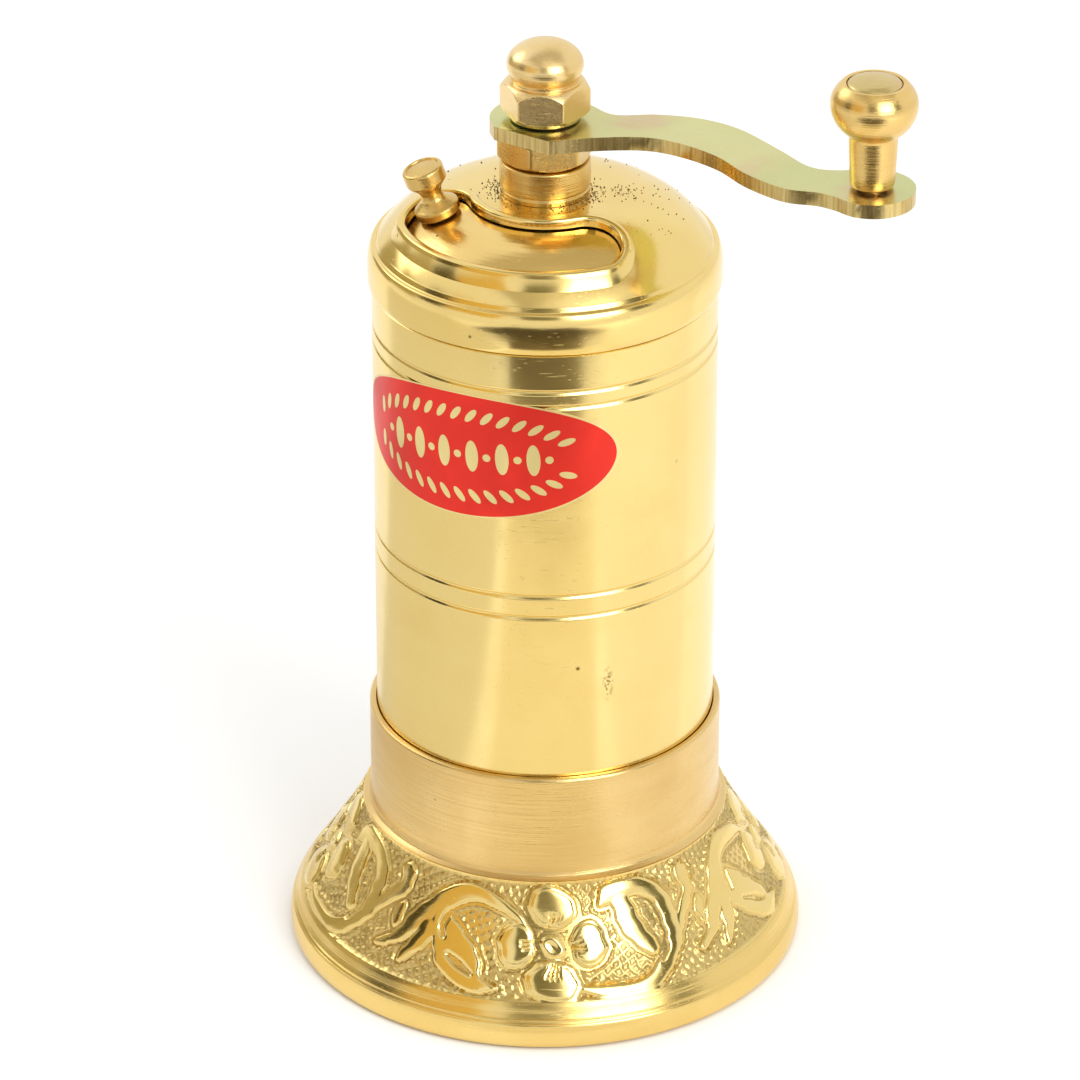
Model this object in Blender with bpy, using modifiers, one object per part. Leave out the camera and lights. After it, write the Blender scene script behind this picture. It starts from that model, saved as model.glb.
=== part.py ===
"""Hand-cranked brass pepper mill.

The mill stands on the floor plane with its axis on +Z. The engraved bell and its band form the
receiver that stays on the table. The body tube with its cap, fill door and grinding mechanism
lifts out of the band. The crank arm points towards +X and a little towards -Y.

Sizes are millimetres and become metres when a mesh is made.
"""

import math

import bmesh
import bpy

MM = 0.001
CLEAR = 0.3            # gap between pieces that fit or rest on each other
MERGE = 1e-6           # weld distance of turned pieces, metres
FINE = 48              # steps round a large turned piece
MEDIUM = 30            # steps round a small turned piece
SMALL = 18             # steps round a fastener

# Receiver: bell, floor disc and band
BASE_R = 42.4          # widest radius, at the foot
BASE_RIM_H = 7.4       # height of the plain foot rim
BASE_SHOULDER_W = 2.3  # widest radius less the radius where the flare meets the foot rim
BELL_H = 24.0
BELL_FLARE = 1.17      # power of the flare, 1 is a straight cone
BELL_WALL = 2.2
BELL_LIP = 1.0         # wall beside the band's socket
FOOT_RADIUS = 0.6
FLOOR_T = 1.2
FLOOR_INSET = 4.4      # foot's widest radius less the floor disc's
BAND_WALL = 0.9
BAND_TOP = 42.2
BAND_SOCKET = 4.0      # how deep the band sits in the bell
BAND_LEDGE_T = 1.9     # ledge that the body tube stands on
BAND_LEDGE_W = 1.5

# Body tube
BODY_R = 27.5
BODY_WALL = 1.0
BODY_TOP = 117.0
NECK_H = 4.6
NECK_STEP = 0.6        # how far the neck steps in under the cap
GROOVE_DEPTH = 0.2
GROOVE_HALF_W = 0.3
GROOVES_BELOW_TOP = (45.95, 42.2, 8.9, 6.3)

# Cap
CAP_WALL = 1.0
CAP_SKIRT_H = 7.0      # top of the body tube to the ledge round the dome's foot
CAP_OVERHANG = 0.65    # how far the skirt stands out from the body tube
DOME_INSET = 1.55      # skirt radius less dome foot radius
DOME_RISE = 8.4
DOME_POWER = 4.2
SLOT_RIM = 4.2         # dome foot radius less the slot's outer radius
SLOT_FROM_COLLAR = 5.1
SLOT_START_DEG = 195.0 # centre of the slot's first round end
SLOT_END_DEG = 293.0   # centre of its second round end
LIP_R = 0.75           # rolled lip round the slot

# Collar in the middle of the cap
COLLAR_R = 7.2
COLLAR_H = 5.2
COLLAR_FOOT_R = 6.85
COLLAR_FOOT_H = 0.9
STEM_WALL = 1.2
STEM_BELOW_CROWN = 8.6

# Fill door and its knob
DOOR_T = 0.8
DOOR_MARGIN_DEG = 4.0  # how far the door runs past each end of the slot
DOOR_HUB_W = 3.3       # width of the ring the door turns on
DOOR_EDGE_INSET = 2.0  # dome foot radius less the radius the door reaches
KNOB_CLEAR = 1.45      # door knob flange to the slot's edge
KNOB_GAP = 0.45         # door knob flange to the end of the slot with the door shut
KNOB_NECK_R = 1.75
KNOB_HEAD_R = 3.3
KNOB_H = 8.8
RIVET_R = 1.1
RIVET_HEAD_R = 2.2
RIVET_HEAD_H = 0.7
WASHER_T = 0.7
RETAINER_T = 2.4
RETAINER_W = 3.0

# Shaft, arm and its nuts
SHAFT_R = 3.9
SHAFT_FLAT = 2.9       # half the width across the two flats
SQUARE_HALF = 3.0      # half side of the square shaft
SQUARE_BELOW_STEM = 2.0 # from the collar's stem down to the square's shoulder
ARM_T = 2.3
ARM_LENGTH = 56.2
ARM_ANGLE_DEG = -27.7
HUB_R = 8.7
ARM_END_R = 6.75
LOCK_NUT_AF = 13.5
LOCK_NUT_H = 4.0
LOCK_NUT_TURN_DEG = -78.0
CRANK_WASHER_R = 6.9
CRANK_WASHER_T = 0.7
ACORN_AF = 12.5
ACORN_HEX_H = 5.1
ACORN_DOME_R = 6.05
ACORN_WAIST_R = 5.3
ACORN_H = 11.7
ACORN_TURN_DEG = -67.0

# Crank knob and its pin
CRANK_KNOB_H = 16.8
CRANK_KNOB_R = 6.75
CRANK_KNOB_FOOT_R = 3.45
CRANK_KNOB_NECK_R = 3.85
CRANK_KNOB_NECK_H = 8.4
CRANK_KNOB_TOP_R = 4.9
CRANK_KNOB_LIFT = 0.5
PIN_R = 2.0
PIN_HEAD_R = 4.1
PIN_HEAD_H = 1.5
PIN_TAIL_R = 3.1
PIN_TAIL_H = 1.0

# Grinding mechanism
CARRIER_TOP = 60.0
CARRIER_FLANGE_T = 3.0
CARRIER_FLANGE_W = 6.4
SOCKET_TOP = 50.0
SOCKET_BOTTOM = 36.0
SOCKET_R = 19.0
OUTER_BURR_R = 13.6
OUTER_BURR_H = 12.0
OUTER_BURR_MOUTH_R = 9.6
OUTER_BURR_THROAT_R = 11.9
INNER_BURR_TOP_R = 7.4
INNER_BURR_FOOT_R = 10.6
BURR_TEETH = 20
BURR_TOOTH = 0.5
GUIDE_T = 2.0
GUIDE_W = 9.0
GUIDE_PLAY = 0.46      # guide's bore less the square shaft's corner radius
BRIDGE_T = 2.6
BRIDGE_W = 9.0
SCREW_R = 1.4
SCREW_LENGTH = 5.0
SCREW_HEAD_R = 2.6
SCREW_HEAD_H = 1.6
SPRING_R = 5.9
SPRING_WIRE_R = 0.45
SPRING_TURNS = 3
BALL_R = 2.0
BALL_ABOVE_BRIDGE = 3.8 # ball's centre above the bridge's underside, at the coarsest setting
ADJUSTER_HEAD_R = 7.0
ADJUSTER_HEAD_H = 3.0
ADJUSTER_TRAVEL = 0.5  # how far the adjuster lifts the shaft, at the finest setting
ADJUSTER_R = 2.5
ADJUSTER_KNURLS = 24

# Places that follow from the sizes above
SHAFT_BORE_R = SHAFT_R + CLEAR
STEM_R = SHAFT_BORE_R + STEM_WALL
DOOR_HUB_R = STEM_R + CLEAR + DOOR_HUB_W
GUIDE_BORE_R = SQUARE_HALF * math.sqrt(2.0) + GUIDE_PLAY
BASE_SHOULDER_R = BASE_R - BASE_SHOULDER_W
FLOOR_R = BASE_R - FLOOR_INSET
CAP_LEDGE_H = BODY_TOP + CAP_SKIRT_H
SKIRT_R = BODY_R + CAP_OVERHANG
DOME_R = SKIRT_R - DOME_INSET
DOME_FOOT = CAP_LEDGE_H + 0.5
CROWN = DOME_FOOT + DOME_RISE
SLOT_OUTER_R = DOME_R - SLOT_RIM
SLOT_INNER_R = COLLAR_R + SLOT_FROM_COLLAR
SLOT_MID_R = (SLOT_OUTER_R + SLOT_INNER_R) / 2
SLOT_HALF_W = (SLOT_OUTER_R - SLOT_INNER_R) / 2
KNOB_FLANGE_R = SLOT_HALF_W - KNOB_CLEAR
BODY_BORE_R = BODY_R - BODY_WALL
BODY_BOTTOM = BELL_H - BAND_SOCKET + CLEAR + BAND_LEDGE_T + CLEAR
BAND_BORE_R = BODY_R + CLEAR
BAND_R = BAND_BORE_R + BAND_WALL
BELL_TOP_R = BAND_R + CLEAR + BELL_LIP
COLLAR_FOOT = CROWN + 0.2
COLLAR_TOP = COLLAR_FOOT + COLLAR_H
LOCK_NUT_FOOT = COLLAR_TOP + CLEAR
ARM_FOOT = LOCK_NUT_FOOT + LOCK_NUT_H + CLEAR
ARM_TOP = ARM_FOOT + ARM_T
CRANK_WASHER_FOOT = ARM_TOP + CLEAR
ACORN_FOOT = CRANK_WASHER_FOOT + CRANK_WASHER_T + CLEAR
CARRIER_R = BODY_BORE_R - CLEAR
BRIDGE_FOOT = SOCKET_BOTTOM - CLEAR - BRIDGE_T
BALL_CENTRE = BRIDGE_FOOT + BALL_ABOVE_BRIDGE
SHAFT_FOOT = BALL_CENTRE + BALL_R + CLEAR


def clear_scene():
    """Remove whatever the startup file holds."""
    for obj in list(bpy.data.objects):
        bpy.data.objects.remove(obj, do_unlink=True)


def collection(name):
    """Return a new collection linked to the scene."""
    made = bpy.data.collections.new(name)
    bpy.context.scene.collection.children.link(made)
    return made


def material(name, colour, roughness, metallic=1.0):
    """Return a plain metal of one colour."""
    made = bpy.data.materials.new(name)
    made.use_nodes = True
    shader = made.node_tree.nodes["Principled BSDF"]
    shader.inputs["Base Color"].default_value = (*colour, 1.0)
    shader.inputs["Roughness"].default_value = roughness
    shader.inputs["Metallic"].default_value = metallic
    return made


def empty(name, x=0.0, y=0.0, z=0.0):
    """Return an empty that stands on a joint's axis."""
    made = bpy.data.objects.new(name, None)
    made.location = (x * MM, y * MM, z * MM)
    PARTS.objects.link(made)
    return made


def place(obj, parent, finish, smooth_deg=30.0):
    """Put a finished piece in the model, on its body's empty, with its material."""
    obj.data.materials.clear()
    obj.data.materials.append(finish)
    if obj.type == "MESH":
        obj.data.shade_smooth()
        obj.data.set_sharp_from_angle(angle=math.radians(smooth_deg))
    if parent is not None:
        obj.parent = parent
        obj.matrix_parent_inverse = parent.matrix_basis.inverted()
    return obj


def as_cutter(obj):
    """Move a helper out of the model, so that it is never drawn."""
    for holder in list(obj.users_collection):
        holder.objects.unlink(obj)
    CUTTERS.objects.link(obj)
    obj.hide_render = True
    obj.display_type = "WIRE"
    return obj


def turned(name, profile, steps):
    """Turn a profile of (radius, height) points about +Z.

    The profile runs outwards along the top, down the outer side and back along the bottom.
    It closes on itself unless both of its ends lie on the axis.
    """
    on_axis = profile[0][0] == 0.0 and profile[-1][0] == 0.0
    count = len(profile)
    edges = [(i, i + 1) for i in range(count - 1)]
    if not on_axis:
        edges.append((count - 1, 0))
    mesh = bpy.data.meshes.new(name)
    mesh.from_pydata([(r * MM, 0.0, z * MM) for r, z in profile], edges, [])
    obj = bpy.data.objects.new(name, mesh)
    PARTS.objects.link(obj)
    screw = obj.modifiers.new("turn", "SCREW")
    screw.steps = steps
    screw.render_steps = steps
    screw.use_merge_vertices = True
    screw.merge_threshold = MERGE
    screw.use_smooth_shade = True
    return obj


def flat(name, outlines, bottom, top):
    """Extrude closed outlines of (x, y) points from bottom to top. Later outlines are holes."""
    curve = bpy.data.curves.new(name, "CURVE")
    curve.dimensions = "2D"
    curve.fill_mode = "BOTH"
    curve.extrude = (top - bottom) / 2 * MM
    for outline in outlines:
        spline = curve.splines.new("POLY")
        spline.points.add(len(outline) - 1)
        for point, (x, y) in zip(spline.points, outline):
            point.co = (x * MM, y * MM, 0.0, 1.0)
        spline.use_cyclic_u = True
    obj = bpy.data.objects.new(name, curve)
    obj.location.z = (top + bottom) / 2 * MM
    PARTS.objects.link(obj)
    return as_mesh(obj)


def tube(name, points, radius, cyclic=False, resolution=2):
    """Sweep a round section along points of (x, y, z)."""
    curve = bpy.data.curves.new(name, "CURVE")
    curve.dimensions = "3D"
    curve.bevel_depth = radius * MM
    curve.bevel_resolution = resolution
    curve.use_fill_caps = not cyclic
    spline = curve.splines.new("POLY")
    spline.points.add(len(points) - 1)
    for point, (x, y, z) in zip(spline.points, points):
        point.co = (x * MM, y * MM, z * MM, 1.0)
    spline.use_cyclic_u = cyclic
    obj = bpy.data.objects.new(name, curve)
    PARTS.objects.link(obj)
    return as_mesh(obj)


def as_mesh(obj):
    """Turn a curve object, or one with modifiers, into a welded mesh object of the same name."""
    bpy.context.view_layer.update()
    name = obj.name
    evaluated = obj.evaluated_get(bpy.context.evaluated_depsgraph_get())
    mesh = bpy.data.meshes.new_from_object(evaluated)
    model = bmesh.new()
    model.from_mesh(mesh)
    bmesh.ops.remove_doubles(model, verts=model.verts, dist=MERGE)
    bmesh.ops.recalc_face_normals(model, faces=model.faces)
    model.to_mesh(mesh)
    model.free()
    matrix = obj.matrix_world.copy()
    bpy.data.objects.remove(obj, do_unlink=True)
    made = bpy.data.objects.new(name, mesh)
    made.matrix_world = matrix
    PARTS.objects.link(made)
    return made


def combine(obj, other, operation):
    """Add a live Boolean that cuts with, keeps to or joins another mesh object."""
    as_cutter(other)
    boolean = obj.modifiers.new(f"{operation.lower()}_{other.name}", "BOOLEAN")
    boolean.operation = operation
    boolean.solver = "EXACT"
    boolean.object = other
    return obj


def arc(radius, start_deg, end_deg, steps, centre=(0.0, 0.0)):
    """Points of (x, y) along an arc, both ends included."""
    angles = [start_deg + (end_deg - start_deg) * i / steps for i in range(steps + 1)]
    return [
        (
            centre[0] + radius * math.cos(math.radians(a)),
            centre[1] + radius * math.sin(math.radians(a)),
        )
        for a in angles
    ]


def circle(radius, steps, centre=(0.0, 0.0)):
    """Points round a full circle."""
    return arc(radius, 0.0, 360.0, steps, centre)[:-1]


def cylinder(name, radius, bottom, top, steps, centre=(0.0, 0.0)):
    """A plain upright cylinder, usually a cutter."""
    return flat(name, [circle(radius, steps, centre)], bottom, top)


def polar(radius, degrees):
    """The (x, y) point at a radius and an angle."""
    return radius * math.cos(math.radians(degrees)), radius * math.sin(math.radians(degrees))


def dome_point(radius, depth):
    """The (radius, height) that lies depth under the dome's outer face, along its normal."""
    share = radius / DOME_R
    height = DOME_FOOT + DOME_RISE * (1.0 - share**DOME_POWER)
    slope = -DOME_RISE * DOME_POWER / DOME_R * share ** (DOME_POWER - 1.0)
    length = math.hypot(slope, 1.0)
    return radius + depth * slope / length, height - depth / length


def dome_line(inner, outer, depth, count):
    """Points along the dome from an inner to an outer radius of its outer face, closer outwards."""
    shares = [math.sin(math.pi / 2 * i / count) for i in range(count + 1)]
    return [dome_point(inner + (outer - inner) * share, depth) for share in shares]


def flare_radius(height):
    """The bell's outer radius at a height between the foot rim and the top."""
    share = (BELL_H - height) / (BELL_H - BASE_RIM_H)
    return BELL_TOP_R + (BASE_SHOULDER_R - BELL_TOP_R) * share**BELL_FLARE


def slot_outline(spread, steps=12):
    """The kidney outline of the fill slot, widened by spread."""
    half = SLOT_HALF_W + spread
    start = polar(SLOT_MID_R, SLOT_START_DEG)
    end = polar(SLOT_MID_R, SLOT_END_DEG)
    points = arc(SLOT_MID_R + half, SLOT_START_DEG, SLOT_END_DEG, steps)
    points += arc(half, SLOT_END_DEG, SLOT_END_DEG + 180.0, steps // 2, end)[1:]
    points += arc(SLOT_MID_R - half, SLOT_END_DEG, SLOT_START_DEG, steps)[1:]
    points += arc(half, SLOT_START_DEG + 180.0, SLOT_START_DEG + 360.0, steps // 2, start)[1:-1]
    return points


def base_bell():
    """The flared receiver: foot rim, engraved flare and the socket for the band."""
    rows = 5
    flare = [BASE_RIM_H + (BELL_H - BASE_RIM_H) * i / rows for i in range(rows, -1, -1)]
    socket_r = BAND_R + CLEAR
    socket_z = BELL_H - BAND_SOCKET
    ledge_z = socket_z - BELL_WALL
    profile = [(socket_r, BELL_H)]
    profile += [(flare_radius(z), z) for z in flare]
    profile += [
        (BASE_R - 1.0, BASE_RIM_H - 2.4),
        (BASE_R, BASE_RIM_H - 4.6),
        (BASE_R, FOOT_RADIUS),
        (BASE_R - FOOT_RADIUS, 0.0),
        (FLOOR_R + CLEAR, 0.0),
        (FLOOR_R + CLEAR, FLOOR_T + CLEAR),
        (FLOOR_R - 1.0, FLOOR_T + CLEAR),
        (flare_radius(BASE_RIM_H) - BELL_WALL, BASE_RIM_H),
        (flare_radius(ledge_z) - BELL_WALL - 1.0, ledge_z),
        (BAND_BORE_R - BAND_LEDGE_W, ledge_z),
        (BAND_BORE_R - BAND_LEDGE_W, socket_z),
        (socket_r, socket_z),
    ]
    return turned("base_bell", profile, FINE)


def base_floor():
    """The closed disc pressed into the bell's foot."""
    profile = [(0.0, FLOOR_T), (FLOOR_R, FLOOR_T), (FLOOR_R, 0.0), (0.0, 0.0)]
    return turned("base_floor", profile, FINE)


def collar_band():
    """The satin band that the body tube slides into."""
    foot = BELL_H - BAND_SOCKET + CLEAR
    chamfer = BAND_WALL / 2
    profile = [
        (BAND_BORE_R, BAND_TOP),
        (BAND_R - chamfer, BAND_TOP),
        (BAND_R, BAND_TOP - chamfer),
        (BAND_R, foot),
        (BAND_BORE_R - BAND_LEDGE_W, foot),
        (BAND_BORE_R - BAND_LEDGE_W, foot + BAND_LEDGE_T),
        (BAND_BORE_R, foot + BAND_LEDGE_T),
    ]
    return turned("collar_band", profile, FINE)


def body_tube():
    """The polished tube, with turned grooves and a neck that goes up inside the cap."""
    neck_r = BODY_R - NECK_STEP
    profile = [
        (neck_r - BODY_WALL, BODY_TOP + NECK_H),
        (neck_r, BODY_TOP + NECK_H),
        (neck_r, BODY_TOP),
        (BODY_R, BODY_TOP),
    ]
    for below in sorted(GROOVES_BELOW_TOP):
        height = BODY_TOP - below
        profile += [
            (BODY_R, height + GROOVE_HALF_W),
            (BODY_R - GROOVE_DEPTH, height),
            (BODY_R, height - GROOVE_HALF_W),
        ]
    profile += [
        (BODY_R, BODY_BOTTOM),
        (BODY_BORE_R, BODY_BOTTOM),
        (BODY_BORE_R, BODY_TOP - NECK_STEP),
        (neck_r - BODY_WALL, BODY_TOP),
    ]
    return turned("body_tube", profile, FINE)


def top_cap():
    """The domed cap with its skirt, its kidney fill slot and the rolled lip round it."""
    stem_hole = STEM_R + CLEAR
    skirt_bore = BODY_R - NECK_STEP + CLEAR
    foot = BODY_TOP + CLEAR
    neck_top = BODY_TOP + NECK_H + CLEAR
    profile = dome_line(stem_hole, DOME_R, 0.0, 7)
    profile += [
        (DOME_R + 0.15, CAP_LEDGE_H + 0.15),
        (SKIRT_R - 0.6, CAP_LEDGE_H),
        (SKIRT_R - 0.15, CAP_LEDGE_H - 0.25),
        (SKIRT_R, CAP_LEDGE_H - 0.8),
        (SKIRT_R, foot + CLEAR),
        (SKIRT_R - 0.25, foot),
        (skirt_bore, foot),
        (skirt_bore, neck_top),
    ]
    inside = dome_line(stem_hole, DOME_R, CAP_WALL, 7)[::-1]
    profile += [(inside[0][0], neck_top)] + inside[:-1]
    profile.append((stem_hole, dome_point(stem_hole, CAP_WALL)[1]))
    cap = turned("top_cap", profile, FINE)
    lip_path = [
        (x, y, dome_point(math.hypot(x, y), -0.1)[1]) for x, y in slot_outline(LIP_R * 0.8)
    ]
    combine(cap, tube("slot_lip", lip_path, LIP_R, cyclic=True, resolution=1), "UNION")
    cut = flat("slot_cut", [slot_outline(0.0)], CAP_LEDGE_H, CROWN + 5.0)
    return combine(cap, cut, "DIFFERENCE")


def cap_collar():
    """The bush that guides the shaft and carries the door on its stem."""
    stem_end = CROWN - STEM_BELOW_CROWN
    profile = [
        (SHAFT_BORE_R, COLLAR_TOP),
        (COLLAR_R - 0.3, COLLAR_TOP),
        (COLLAR_R, COLLAR_TOP - 0.3),
        (COLLAR_R, COLLAR_FOOT + COLLAR_FOOT_H + 0.2),
        (COLLAR_FOOT_R, COLLAR_FOOT + COLLAR_FOOT_H),
        (COLLAR_FOOT_R, COLLAR_FOOT),
        (STEM_R, COLLAR_FOOT),
        (STEM_R, stem_end),
        (SHAFT_BORE_R, stem_end),
    ]
    return turned("cap_collar", profile, MEDIUM)


def door_levels():
    """Heights of the stack under the crown: door underside, washer underside, retainer underside."""
    door_under = CROWN - CAP_WALL - CLEAR - DOOR_T
    washer_under = door_under - CLEAR - WASHER_T
    retainer_under = washer_under - CLEAR - RETAINER_T
    return door_under, washer_under, retainer_under


def door_washer():
    """The spring washer that presses the door up against the cap."""
    door_under, washer_under, _ = door_levels()
    bore = STEM_R + CLEAR
    top = door_under - CLEAR
    mid = bore + RETAINER_W / 2
    profile = [
        (bore, top - 0.2),
        (mid, top),
        (bore + RETAINER_W, top - 0.2),
        (bore + RETAINER_W, washer_under),
        (mid, washer_under + 0.2),
        (bore, washer_under),
    ]
    return turned("door_washer", profile, MEDIUM)


def door_retainer():
    """The ring nut on the collar's stem that holds the door up."""
    _, washer_under, retainer_under = door_levels()
    bore = STEM_R + CLEAR
    sides = 8
    outer = circle(bore + RETAINER_W, sides)
    inner = circle(bore, MEDIUM)
    return flat("door_retainer", [outer, inner], retainer_under, washer_under - CLEAR)


def door_plate():
    """The sector plate under the dome that closes the slot, with the ring it turns on."""
    bore = STEM_R + CLEAR
    reach = DOME_R - DOOR_EDGE_INSET
    top = CAP_WALL + CLEAR
    upper = dome_line(bore, reach, top, 6)
    lower = dome_line(bore, reach, top + DOOR_T, 6)[::-1]
    upper[0] = (bore, upper[0][1])
    lower[-1] = (bore, lower[-1][1])
    plate = turned("door_plate", upper + lower, FINE)
    end_deg = math.degrees(SLOT_HALF_W / SLOT_MID_R)
    first = SLOT_START_DEG - end_deg - DOOR_MARGIN_DEG
    last = SLOT_END_DEG + end_deg + DOOR_MARGIN_DEG
    waste = arc(DOOR_HUB_R, last, first + 360.0, 20)
    waste += arc(DOME_R + 5.0, first + 360.0, last, 20)
    combine(plate, flat("door_waste", [waste], CAP_LEDGE_H - 5.0, CROWN + 5.0), "DIFFERENCE")
    hole = turned("door_rivet_hole", disc_profile(RIVET_R + CLEAR, -3.0, 3.0), SMALL)
    stand_on_door(hole)
    return combine(plate, as_mesh(hole), "DIFFERENCE")


def disc_profile(radius, bottom, top):
    """Profile of a plain solid disc."""
    return [(0.0, top), (radius, top), (radius, bottom), (0.0, bottom)]


def stand_on_door(obj):
    """Lean a piece modelled about +Z so that it stands square on the door at the knob's place."""
    angle = SLOT_START_DEG - math.degrees((KNOB_CLEAR - KNOB_GAP) / SLOT_MID_R)
    outer_r = SLOT_MID_R
    here = dome_point(outer_r, CAP_WALL + CLEAR)
    share = outer_r / DOME_R
    slope = DOME_RISE * DOME_POWER / DOME_R * share ** (DOME_POWER - 1.0)
    x, y = polar(here[0], angle)
    obj.location = (x * MM, y * MM, here[1] * MM)
    obj.rotation_euler = (0.0, math.atan(slope), math.radians(angle))
    return obj


def door_knob():
    """The spool-shaped knob that drags the door round, with the stem of its rivet."""
    flange_top = 1.9
    profile = [
        (0.0, KNOB_H),
        (KNOB_HEAD_R - 0.3, KNOB_H - 0.1),
        (KNOB_HEAD_R, KNOB_H - 0.4),
        (KNOB_HEAD_R, KNOB_H - 2.6),
        (KNOB_HEAD_R - 0.3, KNOB_H - 3.0),
        (KNOB_NECK_R + 0.4, KNOB_H - 3.9),
        (KNOB_NECK_R, KNOB_H - 4.8),
        (KNOB_NECK_R + 0.15, flange_top + 1.0),
        (KNOB_FLANGE_R - 0.7, flange_top + 0.15),
        (KNOB_FLANGE_R, flange_top - 0.2),
        (KNOB_FLANGE_R - 0.15, CLEAR),
        (RIVET_R, CLEAR),
        (RIVET_R, -DOOR_T - RIVET_HEAD_H - CLEAR),
        (0.0, -DOOR_T - RIVET_HEAD_H - CLEAR),
    ]
    return stand_on_door(turned("door_knob", profile, MEDIUM))


def door_rivet_washer():
    """The burr washer that the knob's stem is riveted over, under the door."""
    top = -DOOR_T - CLEAR
    bottom = top - RIVET_HEAD_H
    bore = RIVET_R + CLEAR
    profile = [(bore, top), (RIVET_HEAD_R, top), (RIVET_HEAD_R, bottom), (bore, bottom)]
    return stand_on_door(turned("door_rivet_washer", profile, SMALL))


def hex_outline(across_flats, turn_deg):
    """The six corners of a hexagon."""
    corner = across_flats / math.sqrt(3.0)
    return [polar(corner, turn_deg + 60.0 * i) for i in range(6)]


def chamfered_hex(name, across_flats, turn_deg, profile, bottom, top, bore_r, bore_top):
    """A hexagon whose ends are turned down to a profile, with a bore from below."""
    obj = flat(name, [hex_outline(across_flats, turn_deg)], bottom, top)
    combine(obj, as_mesh(turned(name + "_turning", profile, MEDIUM)), "INTERSECT")
    bore = cylinder(name + "_bore", bore_r, bottom - 1.0, bore_top, SMALL)
    return combine(obj, bore, "DIFFERENCE")


def lock_nut():
    """The hexagon nut under the arm, chamfered at its foot."""
    corner = LOCK_NUT_AF / math.sqrt(3.0)
    flat_r = LOCK_NUT_AF / 2
    top = LOCK_NUT_FOOT + LOCK_NUT_H
    profile = [
        (0.0, top + 1.0),
        (corner + 1.0, top + 1.0),
        (corner + 1.0, LOCK_NUT_FOOT + 2.2),
        (flat_r - 0.2, LOCK_NUT_FOOT),
        (0.0, LOCK_NUT_FOOT),
    ]
    return chamfered_hex(
        "lock_nut", LOCK_NUT_AF, LOCK_NUT_TURN_DEG, profile, LOCK_NUT_FOOT, top, SHAFT_R + CLEAR, top + 1.0
    )


def acorn_nut():
    """The domed nut that holds the arm down: hexagon, waist and flattened ball, bored blind."""
    corner = ACORN_AF / math.sqrt(3.0)
    hex_top = ACORN_FOOT + ACORN_HEX_H
    top = ACORN_FOOT + ACORN_H
    middle = hex_top + 2.9
    hexagon = [
        (0.0, hex_top),
        (ACORN_WAIST_R, hex_top),
        (corner + 1.0, hex_top - 2.4),
        (corner + 1.0, ACORN_FOOT - 1.0),
        (0.0, ACORN_FOOT - 1.0),
    ]
    nut = flat("acorn_nut", [hex_outline(ACORN_AF, ACORN_TURN_DEG)], ACORN_FOOT, hex_top)
    combine(nut, as_mesh(turned("acorn_turning", hexagon, MEDIUM)), "INTERSECT")
    rows = 6
    ball = []
    for i in range(rows + 1):
        angle = math.pi / 2 * (1.0 - i / rows)
        height = middle + (top - middle) * math.sin(angle)
        ball.append((0.0 if i == 0 else ACORN_DOME_R * math.cos(angle), height))
    ball += [
        (ACORN_DOME_R - 0.15, middle - 0.9),
        (ACORN_WAIST_R, middle - 2.0),
        (ACORN_WAIST_R, hex_top - 0.5),
        (0.0, hex_top - 0.5),
    ]
    combine(nut, as_mesh(turned("acorn_ball", ball, MEDIUM)), "UNION")
    bore = cylinder("acorn_bore", SHAFT_R + CLEAR, ACORN_FOOT - 1.0, shaft_top() + CLEAR, SMALL)
    return combine(nut, bore, "DIFFERENCE")


def shaft_top():
    """Height of the shaft's upper end, inside the acorn nut."""
    return ACORN_FOOT + ACORN_HEX_H + 1.6


def crank_washer():
    """The plain washer between the arm and the acorn nut."""
    bore = circle(SHAFT_R + CLEAR, SMALL)
    top = CRANK_WASHER_FOOT + CRANK_WASHER_T
    return flat("crank_washer", [circle(CRANK_WASHER_R, MEDIUM), bore], CRANK_WASHER_FOOT, top)


def double_flat(radius, half_flat, steps):
    """Outline of a round bar with two flats."""
    reach = math.degrees(math.asin(half_flat / radius))
    return arc(radius, -reach, reach, steps) + arc(radius, 180.0 - reach, 180.0 + reach, steps)


def drive_shaft():
    """The shaft: round with two flats above, square in the hopper and burr."""
    upper_foot = CROWN - STEM_BELOW_CROWN - SQUARE_BELOW_STEM - 1.0
    shaft = flat("drive_shaft", [double_flat(SHAFT_R, SHAFT_FLAT, 10)], upper_foot, shaft_top())
    corner = SQUARE_HALF * math.sqrt(2.0)
    square = [polar(corner, ARM_ANGLE_DEG + 45.0 + 90.0 * i) for i in range(4)]
    combine(shaft, flat("square_bar", [square], SHAFT_FOOT, upper_foot + 1.0), "UNION")
    return shaft


def smooth_closed(points, corners, per_span):
    """Points on a closed Catmull-Rom curve that keeps a corner at each listed index."""
    count = len(points)
    out = []
    for i in range(count):
        p1, p2 = points[i], points[(i + 1) % count]
        p0 = p1 if i in corners else points[i - 1]
        p3 = p2 if (i + 1) % count in corners else points[(i + 2) % count]
        for k in range(per_span):
            t = k / per_span
            weights = (
                -0.5 * t + t * t - 0.5 * t**3,
                1.0 - 2.5 * t * t + 1.5 * t**3,
                0.5 * t + 2.0 * t * t - 1.5 * t**3,
                -0.5 * t * t + 0.5 * t**3,
            )
            out.append(
                tuple(sum(w * p[axis] for w, p in zip(weights, (p0, p1, p2, p3))) for axis in (0, 1))
            )
    return out


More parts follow.
